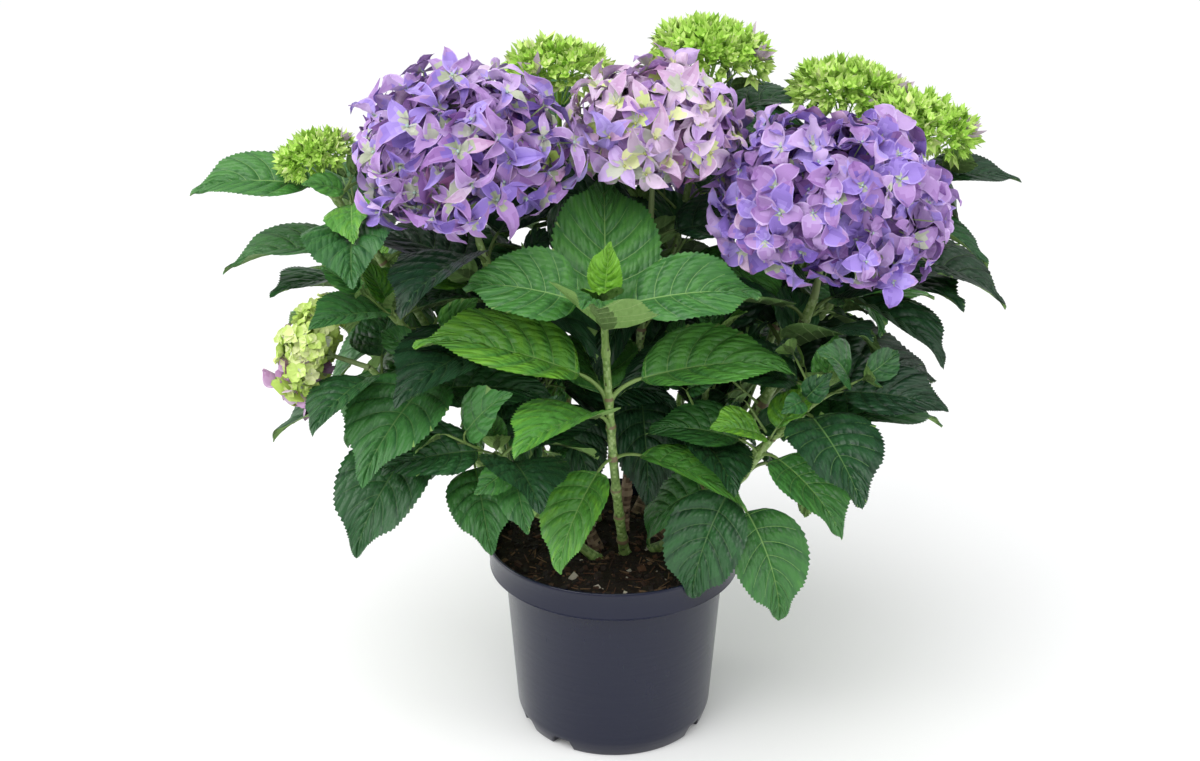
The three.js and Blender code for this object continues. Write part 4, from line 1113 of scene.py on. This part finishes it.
small_parts = []
for index, (name, shoot) in enumerate(SHOOTS.items()):
    rng = np.random.default_rng(1200 + index)
    below = 0
    for row, (gap, *kinds) in enumerate(shoot["leaves"]):
        below += gap * shoot["size"]
        if name in NO_SIDES or (row < SIDE_ROWS and "head" not in shoot):
            continue
        for side in (0, 1):
            big = leaf_plan(shoot, kinds[-side], row, side, below, (0.5,) * 5, (0, 0, 1))
            lean = unit(big["axis"] * rng.uniform(0.5, 1) + big["flat"] * rng.uniform(0.5, 1.1))
            length = rng.uniform(*SIDE_TWIG)
            grown = []
            for number, (down, blades, lift) in enumerate(SIDE_PAIRS):
                spread = np.cross(lean, big["level"] if number else big["flat"])
                spread = unit(spread + rng.normal(0, 0.2, 3))
                start = big["start"] + lean * length * (1 - down)
                for way in (spread, -spread):
                    grown += small_leaf(shoot, start, lean, way, blades, lift, rng)
            if grown:
                line = big["start"] + lean * length * np.array([[0.0], [0.3], [0.7], [1.0]])
                twig, twig_faces = tube(line, SIDE_TWIG_SHAPE, SIDE_TWIG_SIDES)
                twigs.append((twig, twig_faces, np.full(len(twig_faces), SIDE_TWIG_PAINT)))
                small_parts += grown
small_mesh = joined("side_twig_leaves", small_parts, LEAF_SHARP)
add_piece("side_twig_leaves", small_mesh, leaf_paints, "foliage")
add_piece("leafy_twigs", joined("leafy_twigs", twigs), stem_paints, "green_stem")

# ------------------------------------------------------------------ the flower heads
# Domes of sterile florets. Each floret has four showy sepals round a bead of a bud, on its own
# thread of a stalk, and the threads gather into rays on the head's stout green stalk.

HEADS = {
    "bloom": dict(height=0.84, under=0.72),
    "opening": dict(height=0.62, under=0.6),
    "buds": dict(height=0.42, under=0.4),
}
HEAD_STALK = 0.92  # its radius over that of its shoot's tip
GOLDEN_TURN = 2.399963  # between places that spread evenly over a dome
# The layers of florets: how far out each lies, how much wider it is spaced, and how much darker it
# is coloured, which is painted shade inside the dome.
HEAD_LAYERS = ((0.84, 1, 0), (0.64, 1.15, 0.3), (0.44, 1.3, 0.45))
NEAR = 0.96  # where florets lie on the whole, over their layer's reach
BLOOM_LOW = 0.47  # how far below its middle a dome still carries florets, over its underside's depth
RAYS, RAY_SPREAD, RAY_REACH = 8, 0.95, 0.42  # the forks of the stalk, besides the one in the middle
FORK_RISE = 0.12

# Colours of a sepal from deep to pale.
SEPAL_RAMPS = {
    "violet": ((0.090, 0.040, 0.270), (0.190, 0.110, 0.450), (0.320, 0.215, 0.640), (0.500, 0.380, 0.850)),
    "mauve": ((0.155, 0.048, 0.235), (0.280, 0.132, 0.400), (0.425, 0.255, 0.570), (0.600, 0.440, 0.760)),
    "pink": ((0.300, 0.105, 0.280), (0.445, 0.230, 0.435), (0.590, 0.390, 0.600), (0.750, 0.590, 0.780)),
    "pale": ((0.180, 0.215, 0.120), (0.280, 0.325, 0.200), (0.410, 0.455, 0.320), (0.580, 0.605, 0.500)),
    "lime": ((0.290, 0.440, 0.055), (0.420, 0.600, 0.105), (0.560, 0.720, 0.190), (0.770, 0.820, 0.430)),
}
SEPAL_TONES = 7
VIOLET, MAUVE, PINK, PALE, LIME = range(5)
# The colours of the inner and of the outer part of a sepal, and between which places they meet. A
# sepal of any other colour ends in that of its head's rim.
ZONES = {
    VIOLET: (VIOLET, MAUVE, 0.5, 1.4), MAUVE: (VIOLET, MAUVE, -0.2, 0.6), PINK: (MAUVE, PINK, -0.9, 0.4),
}
RIM_ZONE = (0.35, 0.9)
TONE_SPREAD, SEPAL_TONE_SPREAD = 0.14, 0.08
STRIPES, SPECKS = 0.045, 0.03
FOOT_LIGHT, RIM_LIGHT, END_SHADE = 0.4, (0.05, 0.32), 0.18
FOOT_END, FOOT_ARCH = 0.62, 0.2  # how far up the light foot reaches, and how much less at the sides
RIM_START, END_START, END_LENGTH = 0.9, 0.65, 0.35
ZONE_ARCH, ZONE_BLUR = 0.25, 0.04  # how much nearer the end the sides count, and how blurred it is
BEAD_COLOURS = ((0.42, 0.58, 0.50), (0.50, 0.56, 0.18))
THREAD_COLOUR = (0.26, 0.36, 0.13)
THREAD_RADIUS, THREAD_TAPER = 0.75, 0.75

SEPALS = 4
OTHER_COLOUR = 0.35  # the share of sepals with a colour of their own
SEPAL_VARY, WIDTH_VARY, FLORET_VARY = (0.8, 1.12), (0.88, 1.1), (0.82, 1.12)
SEPAL_FOOT = 0.14  # its width where it leaves the bead, over its greatest width
FOLD_VARY, LIFT_VARY, CURL_VARY = (0.3, 1.3), (-0.05, 0.4), (0.2, 1.6)
LIFT_POWER = 1.5
CURL_START, CURL_LENGTH = 0.4, 0.6
RIBS, RIB_HEIGHT, CRINKLE = 3, 0.014, 0.011
RUFFLES, RUFFLE_OUT = (1, 2.2), 2.5  # waves along a margin, and the power by which they grow outwards
DRAWN_IN = 0.25  # how much shorter a sepal gets where it bends up or down
SEPAL_SKEW = 0.14  # how far sepals are turned from their quarters
SEPAL_STEP = 0.5  # how much higher two of the four lie than the others
BEAD_RISE, BEAD_SIZE = 1.2, 0.07
SEPAL_SHARP = 80
GATHERED_SIZE = 2.1  # how much larger the sepals that have opened on the opening head are
# How surely florets on one side of a head take its second colour, and how little that is on the
# opening head and on the others.
GATHERING, SPARSE, LAVISH = 1.4, 0.75, 0.35


def bloom_look(**own):
    """How a bloom's florets look: what they share unless told otherwise, and what is their own."""
    shared = dict(loose=0.16, cup=0.15, ruffle=0.04, base=PALE, bead=0, heart=0.3, blush=MAUVE, rim=MAUVE)
    return shared | own


# Each bloom's florets: their spacing and how loosely they lie, a sepal's length, its width over its
# length, the powers that shape it towards its base and tip, how it is folded, cupped, twisted,
# curled back and ruffled, how far florets turn from the way out, the share of each colour, how pale
# they are, the colour of a sepal's base with how far up that reaches, its bead, a second colour with
# the side on which it gathers, and the colour of its end.
BLOOMS = {
    "left": bloom_look(
        spacing=24.5, loose=0.24, sepal=28.5, slim=0.46, shape=(0.85, 1.3), fold=0.95, cup=0.0, twist=0.8,
        curl=0.4, ruffle=0.035, tilt=0.95, shares=(0.40, 0.43, 0.05, 0.10, 0.02), tone=0.64, heart=0.5,
        towards=(-0.2, 0, 1),
    ),
    "middle": bloom_look(
        spacing=24, sepal=26, slim=0.55, shape=(0.75, 1.2), fold=0.6, cup=0.1, twist=0.6, curl=0.38,
        ruffle=0.035, tilt=0.8, shares=(0.02, 0.22, 0.56, 0.12, 0.08), tone=0.76, base=LIME, bead=1,
        heart=0.6, towards=(1, 0, -0.5), rim=PINK,
    ),
    "right": bloom_look(
        spacing=22.5, sepal=22.5, slim=0.8, shape=(0.75, 0.8), fold=0.42, twist=0.5, curl=0.26,
        ruffle=0.055, tilt=0.8, shares=(0.66, 0.27, 0.02, 0.05, 0.0), tone=0.62, towards=(1, 0, 0.1),
    ),
    "back_left": bloom_look(
        spacing=23, sepal=21.5, slim=0.85, shape=(0.72, 0.6), fold=0.25, cup=0.2, twist=0.3, curl=0.2,
        tilt=0.42, shares=(0.55, 0.32, 0.04, 0.09, 0.0), tone=0.64, towards=(-1, 0, 0),
    ),
    "back_right": bloom_look(
        spacing=23, sepal=22, slim=0.75, shape=(0.7, 0.7), fold=0.3, twist=0.35, curl=0.24, tilt=0.45,
        shares=(0.32, 0.38, 0.18, 0.10, 0.02), tone=0.68, blush=PINK, towards=(0, 0, 1),
    ),
    "left_low": bloom_look(
        spacing=11.5, sepal=9.5, slim=0.95, shape=(0.7, 0.6), fold=0.15, cup=0.6, twist=0.3, curl=-0.1,
        ruffle=0.03, tilt=0.6, shares=(0.0, 0.0, 0.03, 0.12, 0.85), tone=0.72, base=LIME, bead=1,
        heart=0.25, blush=PINK, towards=(-0.5, -0.5, -1.3), rim=LIME,
    ),
}


def head_frame(shoot):
    """The foot, top, axis and side directions of a head, its middle and its dome's half width."""
    head = shoot["head"]
    style = HEADS[head["kind"]]
    axis = unit((*head["lean"], 1))
    foot = shoot["line"][2] + line_tangent(shoot, 1.0) * GAP
    top = foot + axis * head["stalk"]
    across = unit(np.cross((0, 1, 0), axis))
    radius = head["width"] / 2
    middle = top + axis * radius * style["height"] * style["under"]
    return dict(
        foot=foot, top=top, axis=axis, across=across, other=np.cross(axis, across), middle=middle,
        radius=radius, height=radius * style["height"], under=style["under"],
    )


def sideways(head, turn):
    """The way out of a head at this turn round its axis."""
    return head["across"] * math.cos(turn) + head["other"] * math.sin(turn)


def dome_spots(head, spacing, lowest, rng, jitter=0.3):
    """Places spread evenly over a dome, as offsets from its middle, with the way out at each."""
    radius, height = head["radius"], head["height"]
    wander = jitter * spacing / radius
    total = int(2 * math.pi * radius * (radius * 0.5 + height * 0.5 + height * lowest) / spacing**2)
    for k in range(total):
        climb = 1 - (1 + lowest) * (k + 0.5) / total
        turn = k * GOLDEN_TURN + rng.uniform(-wander, wander)
        climb = np.clip(climb + rng.uniform(-wander, wander) * 0.6, -lowest, 1)
        outward = sideways(head, turn) * math.sqrt(1 - climb * climb)
        tall = height * (head["under"] if climb < 0 else 1)
        spot = outward * radius + head["axis"] * climb * tall
        yield spot, unit(outward / radius + head["axis"] * climb / tall)


# The nets of a sepal in the open, and of one within the head or on a small head: its rows from base
# to tip, its columns from side to side, and its faces.
FINE, COARSE = (
    (np.linspace(0, 1, rows)[:, None], np.array([columns]), sheet_faces(rows, len(columns), False))
    for rows, columns in ((8, (-1, -0.85, -0.45, 0, 0.45, 0.85, 1)), (5, (-1, -0.6, 0, 0.6, 1)))
)
BEAD_POINTS = np.array([[1, 0, 0], [0, 1, 0], [-1, 0, 0], [0, -1, 0], [0, 0, 1], [0, 0, -1]], dtype=float)
BEAD_FACES = np.array(
    [[0, 1, 4], [1, 2, 4], [2, 3, 4], [3, 0, 4], [1, 0, 5], [2, 1, 5], [3, 2, 5], [0, 3, 5]]
)


def sepal(length, style, rng, net):
    """One sepal that leaves the origin along X: folded and cupped, with ribs, a ruffled margin and
    a tip that curls back."""
    along, across, _ = net
    half = length * 0.5 * style["slim"] * rng.uniform(*WIDTH_VARY)
    swell, close = style["shape"]
    most = swell / (swell + close)
    body = along**swell * (1 - along) ** close / (most**swell * (1 - most) ** close)
    y = across * half * np.maximum(body, SEPAL_FOOT * (1 - along))
    z = style["fold"] * rng.uniform(*FOLD_VARY) * np.abs(y) + style["cup"] * y**2 / half
    z = z + rng.uniform(*LIFT_VARY) * length * along**LIFT_POWER
    curl = np.clip((along - CURL_START) / CURL_LENGTH, 0, 1) ** 2
    z = z - style["curl"] * rng.uniform(*CURL_VARY) * length * curl
    z = z + RIB_HEIGHT * length * np.cos(RIBS * math.pi * across) * np.sin(math.pi * along)
    z = z + rng.normal(0, CRINKLE * length, z.shape) * np.sin(math.pi * along)
    phase = np.where(across < 0, *rng.uniform(0, math.tau, 2))
    waves = math.tau * rng.uniform(*RUFFLES)
    z = z + style["ruffle"] * length * np.abs(across) ** RUFFLE_OUT * np.sin(waves * along + phase)
    angle = style["twist"] * rng.normal() * along
    x = length * along - DRAWN_IN * np.abs(z)
    cosine, sine = np.cos(angle), np.sin(angle)
    return np.stack([x, y * cosine - z * sine, y * sine + z * cosine], axis=-1)


def sepal_paints(family, tone, style, rng, net):
    """The paint of each face: a pale base, a bluer middle, a pinker end and a light rim."""
    along, across, _ = net
    v, u = (along[:-1] + along[1:]) / 2, np.abs(across[:, :-1] + across[:, 1:]) / 2
    foot = np.clip(FOOT_END - v - FOOT_ARCH * u, 0, 1) * 2
    shade = tone + rng.normal(0, SEPAL_TONE_SPREAD) + rng.uniform(0, FOOT_LIGHT) * foot
    end = np.clip((v - END_START) / END_LENGTH, 0, 1)
    shade = shade + rng.uniform(*RIM_LIGHT) * (u > RIM_START) - END_SHADE * end
    shade = shade + rng.normal(0, STRIPES, (1, u.shape[1])) + rng.normal(0, SPECKS, (len(v), u.shape[1]))
    inner, outer, least, most = ZONES.get(family, (family, style["rim"], *RIM_ZONE))
    place = v + ZONE_ARCH * u + rng.normal(0, ZONE_BLUR, shade.shape)
    families = np.where(place > rng.uniform(least, most), outer, inner)
    base = rng.choice([style["base"], PALE])
    families = np.where(place < rng.uniform(0, style["heart"]), base, families)
    return (families * SEPAL_TONES + steps_of(shade, SEPAL_TONES)).ravel()


def floret(spot, way, style, family, size, painted_shade, rng, net):
    """Four sepals and a bead, facing `way`, with the paint of each face by its zone, darker by its layer's
    painted shade.
    """
    side = unit(np.cross(way, rng.normal(0, 1, 3)))
    other = np.cross(way, side)
    tone = style["tone"] - painted_shade + rng.normal(0, TONE_SPREAD)
    parts = []
    for k in range(SEPALS):
        turn = math.tau * k / SEPALS + rng.normal(0, SEPAL_SKEW)
        ahead = side * math.cos(turn) + other * math.sin(turn)
        shape = sepal(size * rng.uniform(*SEPAL_VARY), style, rng, net)
        shape[..., 2] += SEPAL_STEP * (k % 2)
        own = rng.choice(len(SEPAL_RAMPS), p=style["shares"]) if rng.random() < OTHER_COLOUR else family
        points = (spot + shape @ np.stack([ahead, np.cross(way, ahead), way])).reshape(-1, 3)
        parts.append((points, net[2], sepal_paints(own, tone, style, rng, net)))
    bead = np.full(len(BEAD_FACES), len(SEPAL_RAMPS) * SEPAL_TONES + style["bead"])
    parts.append((spot + way * BEAD_RISE + BEAD_POINTS * size * BEAD_SIZE, BEAD_FACES, bead))
    return parts


def thread(start, end, radius, paint, sag=0.12, sides=3, steps=3):
    """A thin stalk between two places, bowed upwards."""
    t = np.linspace(0, 1, steps)[:, None]
    bow = (end - start) * 0.5 + np.array([0, 0, -sag * np.linalg.norm(end - start)])
    line = start + 2 * t * (1 - t) * bow + t**2 * (end - start)
    points, faces = tube(line, np.linspace(radius, radius * THREAD_TAPER, steps), sides)
    return points, faces, np.full(len(faces), paint)


bloom_paints = [
    Paint(
        f"sepal_{family}_{number}", colour, 0.55, specular_ior_level=0.35, sheen_weight=0.15,
    ).grained(800, 0.0003, rough=0.6)
    for family, anchors in SEPAL_RAMPS.items()
    for number, colour in enumerate(ramp(anchors, SEPAL_TONES), 1)
]
for number, colour in enumerate(BEAD_COLOURS, 1):
    bloom_paints.append(Paint(f"floret_bead_{number}", colour, 0.4).grained(1500, 0.0002, detail=2))
THREAD = len(bloom_paints)
thread_paint = Paint("floret_thread", THREAD_COLOUR, 0.5)
bloom_paints.append(thread_paint.grained(1500, 0.0002, detail=2, stretch=(1, 1, 0.2)))

for name, style in BLOOMS.items():
    shoot = SHOOTS[name]
    head = head_frame(shoot)
    rng = np.random.default_rng(4000 + order.index(name))
    opening = shoot["head"]["kind"] == "opening"
    # The stalk ends in a fork of rays, and each floret's thread leaves the nearest of them.
    stalk_radius = shoot["radius"] * TAPER * HEAD_STALK
    fork = head["top"] + head["axis"] * head["height"] * FORK_RISE
    parts = [thread(head["foot"], fork, stalk_radius, THREAD, sag=0, sides=10, steps=8)]
    rays = []
    for k in range(RAYS + 1):
        polar = RAY_SPREAD if k < RAYS else 0.0
        out = head["axis"] * math.cos(polar) + math.sin(polar) * sideways(head, math.tau * k / RAYS)
        out = out * head["radius"] * RAY_REACH - head["axis"] * head["height"] * FORK_RISE
        rays.append(head["middle"] + out)
        parts.append(thread(fork, rays[-1], stalk_radius * 0.5, THREAD, sag=0.1, sides=6, steps=5))
    rays, towards = np.array(rays), unit(style["towards"])
    # shade is each layer's painted shade: florets inside the dome are coloured darker.
    for reach, wider, shade in HEAD_LAYERS:
        for offset, way in dome_spots(head, style["spacing"] * wider, BLOOM_LOW, rng):
            spot = head["middle"] + offset * reach * (NEAR + style["loose"] * rng.uniform(-1, 1))
            way = unit(way + rng.normal(0, style["tilt"] * 0.5, 3))
            gathering = GATHERING * (offset @ towards) / head["radius"] - (SPARSE if opening else LAVISH)
            gathered = rng.random() < gathering
            family = style["blush"] if gathered else rng.choice(len(SEPAL_RAMPS), p=style["shares"])
            size = style["sepal"] * rng.uniform(*FLORET_VARY)
            size = size * GATHERED_SIZE if gathered and opening else size
            net = COARSE if shade or (opening and not gathered) else FINE
            parts += floret(spot, way, style, family, size, shade, rng, net)
            ray = rays[np.linalg.norm(rays - spot, axis=1).argmin()]
            parts.append(thread(ray, spot, THREAD_RADIUS, THREAD, sag=0.08))
    if opening:
        piece_name, slot, node = f"young_head_{name}", "buds", f"buds_{name}"
    else:
        piece_name, slot, node = f"mophead_{name}", "petals", f"bloom_{name}"
    add_piece(piece_name, joined(piece_name, parts, SEPAL_SHARP), bloom_paints, slot, node)

# ------------------------------------------------------------------ the young heads
# Flower heads still in bud: flat clusters of lime-green stars. The stars sit in small domes, each
# on its own green ray of the head's stalk.

# The size of each head's stars, and how many of its stars at the edge have coloured first.
BUDS = {
    "left_upper": (6.6, 1), "right_upper": (9.2, 5), "right_back": (9.4, 5), "back_left_upper": (8.8, 1),
    "back_right_upper": (9.2, 6),
}
FORK = 0.35  # how far up the stalk its lower rays start
STAR_SIZE = 7.4  # the star that goes with these domes:
CYME_SPACING, CYME_LOW, CYME_REACH = 20, 0.1, (0.72, 0.86)
CYME_RADIUS, CYME_VARY = 12, (0.85, 1.15)
CYME_HEIGHT = 0.8  # over the radius
BUD_SPACING, BUD_LOW, BUD_TILT, BUD_VARY = 7.4, 0.2, 0.2, (0.75, 1.2)
CYME_SHARP = 100
LIGHT, LIGHT_VARY, STAR_LIGHT_VARY = 2.5, 0.6, 0.4  # which of the colours a dome's stars have
FIVE_LOBED = 0.35  # the share of stars with five petals
OPENED, PETAL_SKEW, PETAL_VARY = (0.3, 0.9), 0.12, (0.85, 1.15)
PETAL_STEEP, PETAL_LOWERED = 1.5, 0.6  # how steeply closed petals stand, and open ones less so
LIGHTER_SHARE = 0.15
COLOURED_SIZE, COLOURED_OUT, COLOURED_RISE = 1.7, 0.86, 4
COLOURED_SPREAD = 1.3  # how far round the head, from its right, stars colour first
STAR_COLOURS = (
    (0.160, 0.340, 0.030), (0.270, 0.510, 0.052), (0.390, 0.650, 0.090), (0.510, 0.770, 0.150),
    (0.650, 0.850, 0.260), (0.780, 0.840, 0.430), (0.560, 0.440, 0.560),
)
CREAM, TINGED = 5, 6
PETAL_POINTS = np.array([[0, 0, 0], [0.42, -0.34, 0.4], [1, 0, 0.95], [0.42, 0.34, 0.4], [0.5, 0, 0.22]])
PETAL_FACES = np.array([[0, 1, 4], [1, 2, 4], [2, 3, 4], [3, 0, 4]])

star_paints = [
    Paint(f"young_sepal_{number}", colour, 0.5, specular_ior_level=0.4).grained(1200, 0.00025)
    for number, colour in enumerate(STAR_COLOURS, 1)
]


def star(spot, way, size, tone, rng):
    """A bud with four or five small cupped petals round a bead."""
    side = unit(np.cross(way, rng.normal(0, 1, 3)))
    other = np.cross(way, side)
    lobes = 4 + int(rng.random() < FIVE_LOBED)
    opened = rng.uniform(*OPENED)
    parts = []
    for k in range(lobes):
        turn = math.tau * k / lobes + rng.normal(0, PETAL_SKEW)
        ahead = side * math.cos(turn) + other * math.sin(turn)
        beside = other * math.cos(turn) - side * math.sin(turn)
        steep = PETAL_STEEP - PETAL_LOWERED * opened
        shape = PETAL_POINTS * (opened, 1, steep) * rng.uniform(*PETAL_VARY)
        paint = min(CREAM, tone + int(rng.random() < LIGHTER_SHARE))
        paints = np.array([paint, paint, min(CREAM, paint + 1), paint])
        parts.append((spot + size * shape @ np.stack([ahead, beside, way]), PETAL_FACES, paints))
    bead = spot + way * size * 0.3 + BEAD_POINTS * size * 0.3
    parts.append((bead, BEAD_FACES, np.full(len(BEAD_FACES), min(CREAM - 1, tone + 1))))
    return parts


for name, (size, coloured) in BUDS.items():
    shoot = SHOOTS[name]
    head = head_frame(shoot)
    rng = np.random.default_rng(6000 + order.index(name))
    scale = size / STAR_SIZE
    stalk_radius = shoot["radius"] * TAPER * HEAD_STALK
    fork = head["foot"] + (head["top"] - head["foot"]) * FORK
    parts = [thread(head["foot"], head["top"], stalk_radius, 1, sag=0, sides=9, steps=7)]
    for number, (offset, way) in enumerate(dome_spots(head, CYME_SPACING * scale, CYME_LOW, rng)):
        centre = head["middle"] + offset * rng.uniform(*CYME_REACH) - way * 3
        start = fork if number % 2 else head["top"]
        parts.append(thread(start, centre, stalk_radius * 0.4, 2, sag=0.1, sides=6, steps=6))
        radius = CYME_RADIUS * scale * rng.uniform(*CYME_VARY)
        light = LIGHT + rng.uniform(-LIGHT_VARY, LIGHT_VARY)
        across = unit(np.cross(way, ASKEW))
        dome = dict(
            radius=radius, height=radius * CYME_HEIGHT, under=1, axis=way, across=across,
            other=np.cross(way, across),
        )
        for step, facing in dome_spots(dome, BUD_SPACING * scale, BUD_LOW, rng):
            facing = unit(facing + rng.normal(0, BUD_TILT, 3))
            tone = int(np.clip(round(light + rng.normal(0, STAR_LIGHT_VARY)), 0, CREAM - 1))
            parts += star(centre + step, facing, size * rng.uniform(*BUD_VARY), tone, rng)
            parts.append(thread(centre - way * 4, centre + step, 0.5, 1, sag=0.05))
    for _ in range(coloured):
        out = sideways(head, rng.normal(0, COLOURED_SPREAD))
        spot = head["middle"] + out * head["radius"] * COLOURED_OUT + head["axis"] * COLOURED_RISE
        opened = star(spot, unit(out + head["axis"]), size * COLOURED_SIZE, CREAM, rng)
        for points, faces, _ in opened[:3]:
            parts.append((points, faces, np.array([CREAM, TINGED, TINGED, CREAM])))
    mesh = joined(f"young_head_{name}", parts, CYME_SHARP)
    add_piece(f"young_head_{name}", mesh, star_paints, "buds", f"buds_{name}")

# ------------------------------------------------------------------ the studio
# A pale floor without an edge in view, large soft lamps at both sides and above, and the camera
# at standing height, looking down on the plant.

FLOOR_SIZE = 30
PAPER = (0.93, 0.93, 0.93)
SKY, SKY_STRENGTH = (0.98, 0.99, 1.0), 0.62
GLOW_SPREAD = 70  # degrees over which the light from above comes
CAMERA_PLACE = (-0.0127, -1.212, 0.799)
CAMERA_TILT = 21.3  # degrees below level
CAMERA_LENS, CAMERA_SENSOR = 45, 36
CEILING_POWER, CEILING_AIM = 1.75, (0.3, 0.5, -1.0)

floor_shape = bmesh.new()
bmesh.ops.create_grid(floor_shape, x_segments=1, y_segments=1, size=FLOOR_SIZE)
floor = bpy.data.objects.new("studio_floor", mesh_of(floor_shape, "studio_floor"))
bpy.context.scene.collection.objects.link(floor)
floor.data.materials.append(Paint("studio_paper", PAPER, 0.95, specular_ior_level=0.1).material)

world = bpy.data.worlds.new("studio")
world.use_nodes = True
background = world.node_tree.nodes["Background"]
background.inputs["Color"].default_value = (*SKY, 1)
background.inputs["Strength"].default_value = SKY_STRENGTH
bpy.context.scene.world = world


def aimed(name, data, place, towards):
    """Puts a lamp in the scene, pointing this way."""
    lamp = bpy.data.objects.new(name, data)
    bpy.context.scene.collection.objects.link(lamp)
    lamp.location = place
    lamp.rotation_euler = Vector(towards).to_track_quat("-Z", "Y").to_euler()


def softbox(name, place, aim, size, power, colour=(1, 1, 1)):
    """A soft lamp of this width and height, which lights the place it is aimed at."""
    lamp = bpy.data.lights.new(name, "AREA")
    lamp.shape, lamp.size, lamp.size_y, lamp.energy, lamp.color = "RECTANGLE", *size, power, colour
    aimed(name, lamp, place, Vector(aim) - Vector(place))


softbox("key_softbox", (-1.5, -1.5, 2.1), (0, 0, 0.35), (1.4, 1.4), 16, (1.0, 0.99, 0.97))
softbox("side_softbox", (1.9, -0.9, 1.1), (0, 0, 0.3), (1.0, 1.8), 12)
softbox("left_strip", (-1.7, 0.3, 0.8), (0, 0, 0.25), (0.7, 1.8), 10)
ceiling = bpy.data.lights.new("ceiling_glow", "SUN")
ceiling.energy, ceiling.angle = CEILING_POWER, math.radians(GLOW_SPREAD)
aimed("ceiling_glow", ceiling, (0, 0, 0), CEILING_AIM)

camera = bpy.data.objects.new("camera", bpy.data.cameras.new("camera"))
bpy.context.scene.collection.objects.link(camera)
camera.location = CAMERA_PLACE
camera.rotation_euler = (math.radians(90 - CAMERA_TILT), 0, 0)
camera.data.lens, camera.data.sensor_width = CAMERA_LENS, CAMERA_SENSOR
bpy.context.scene.camera = camera
bpy.context.scene.view_settings.view_transform = "Standard"
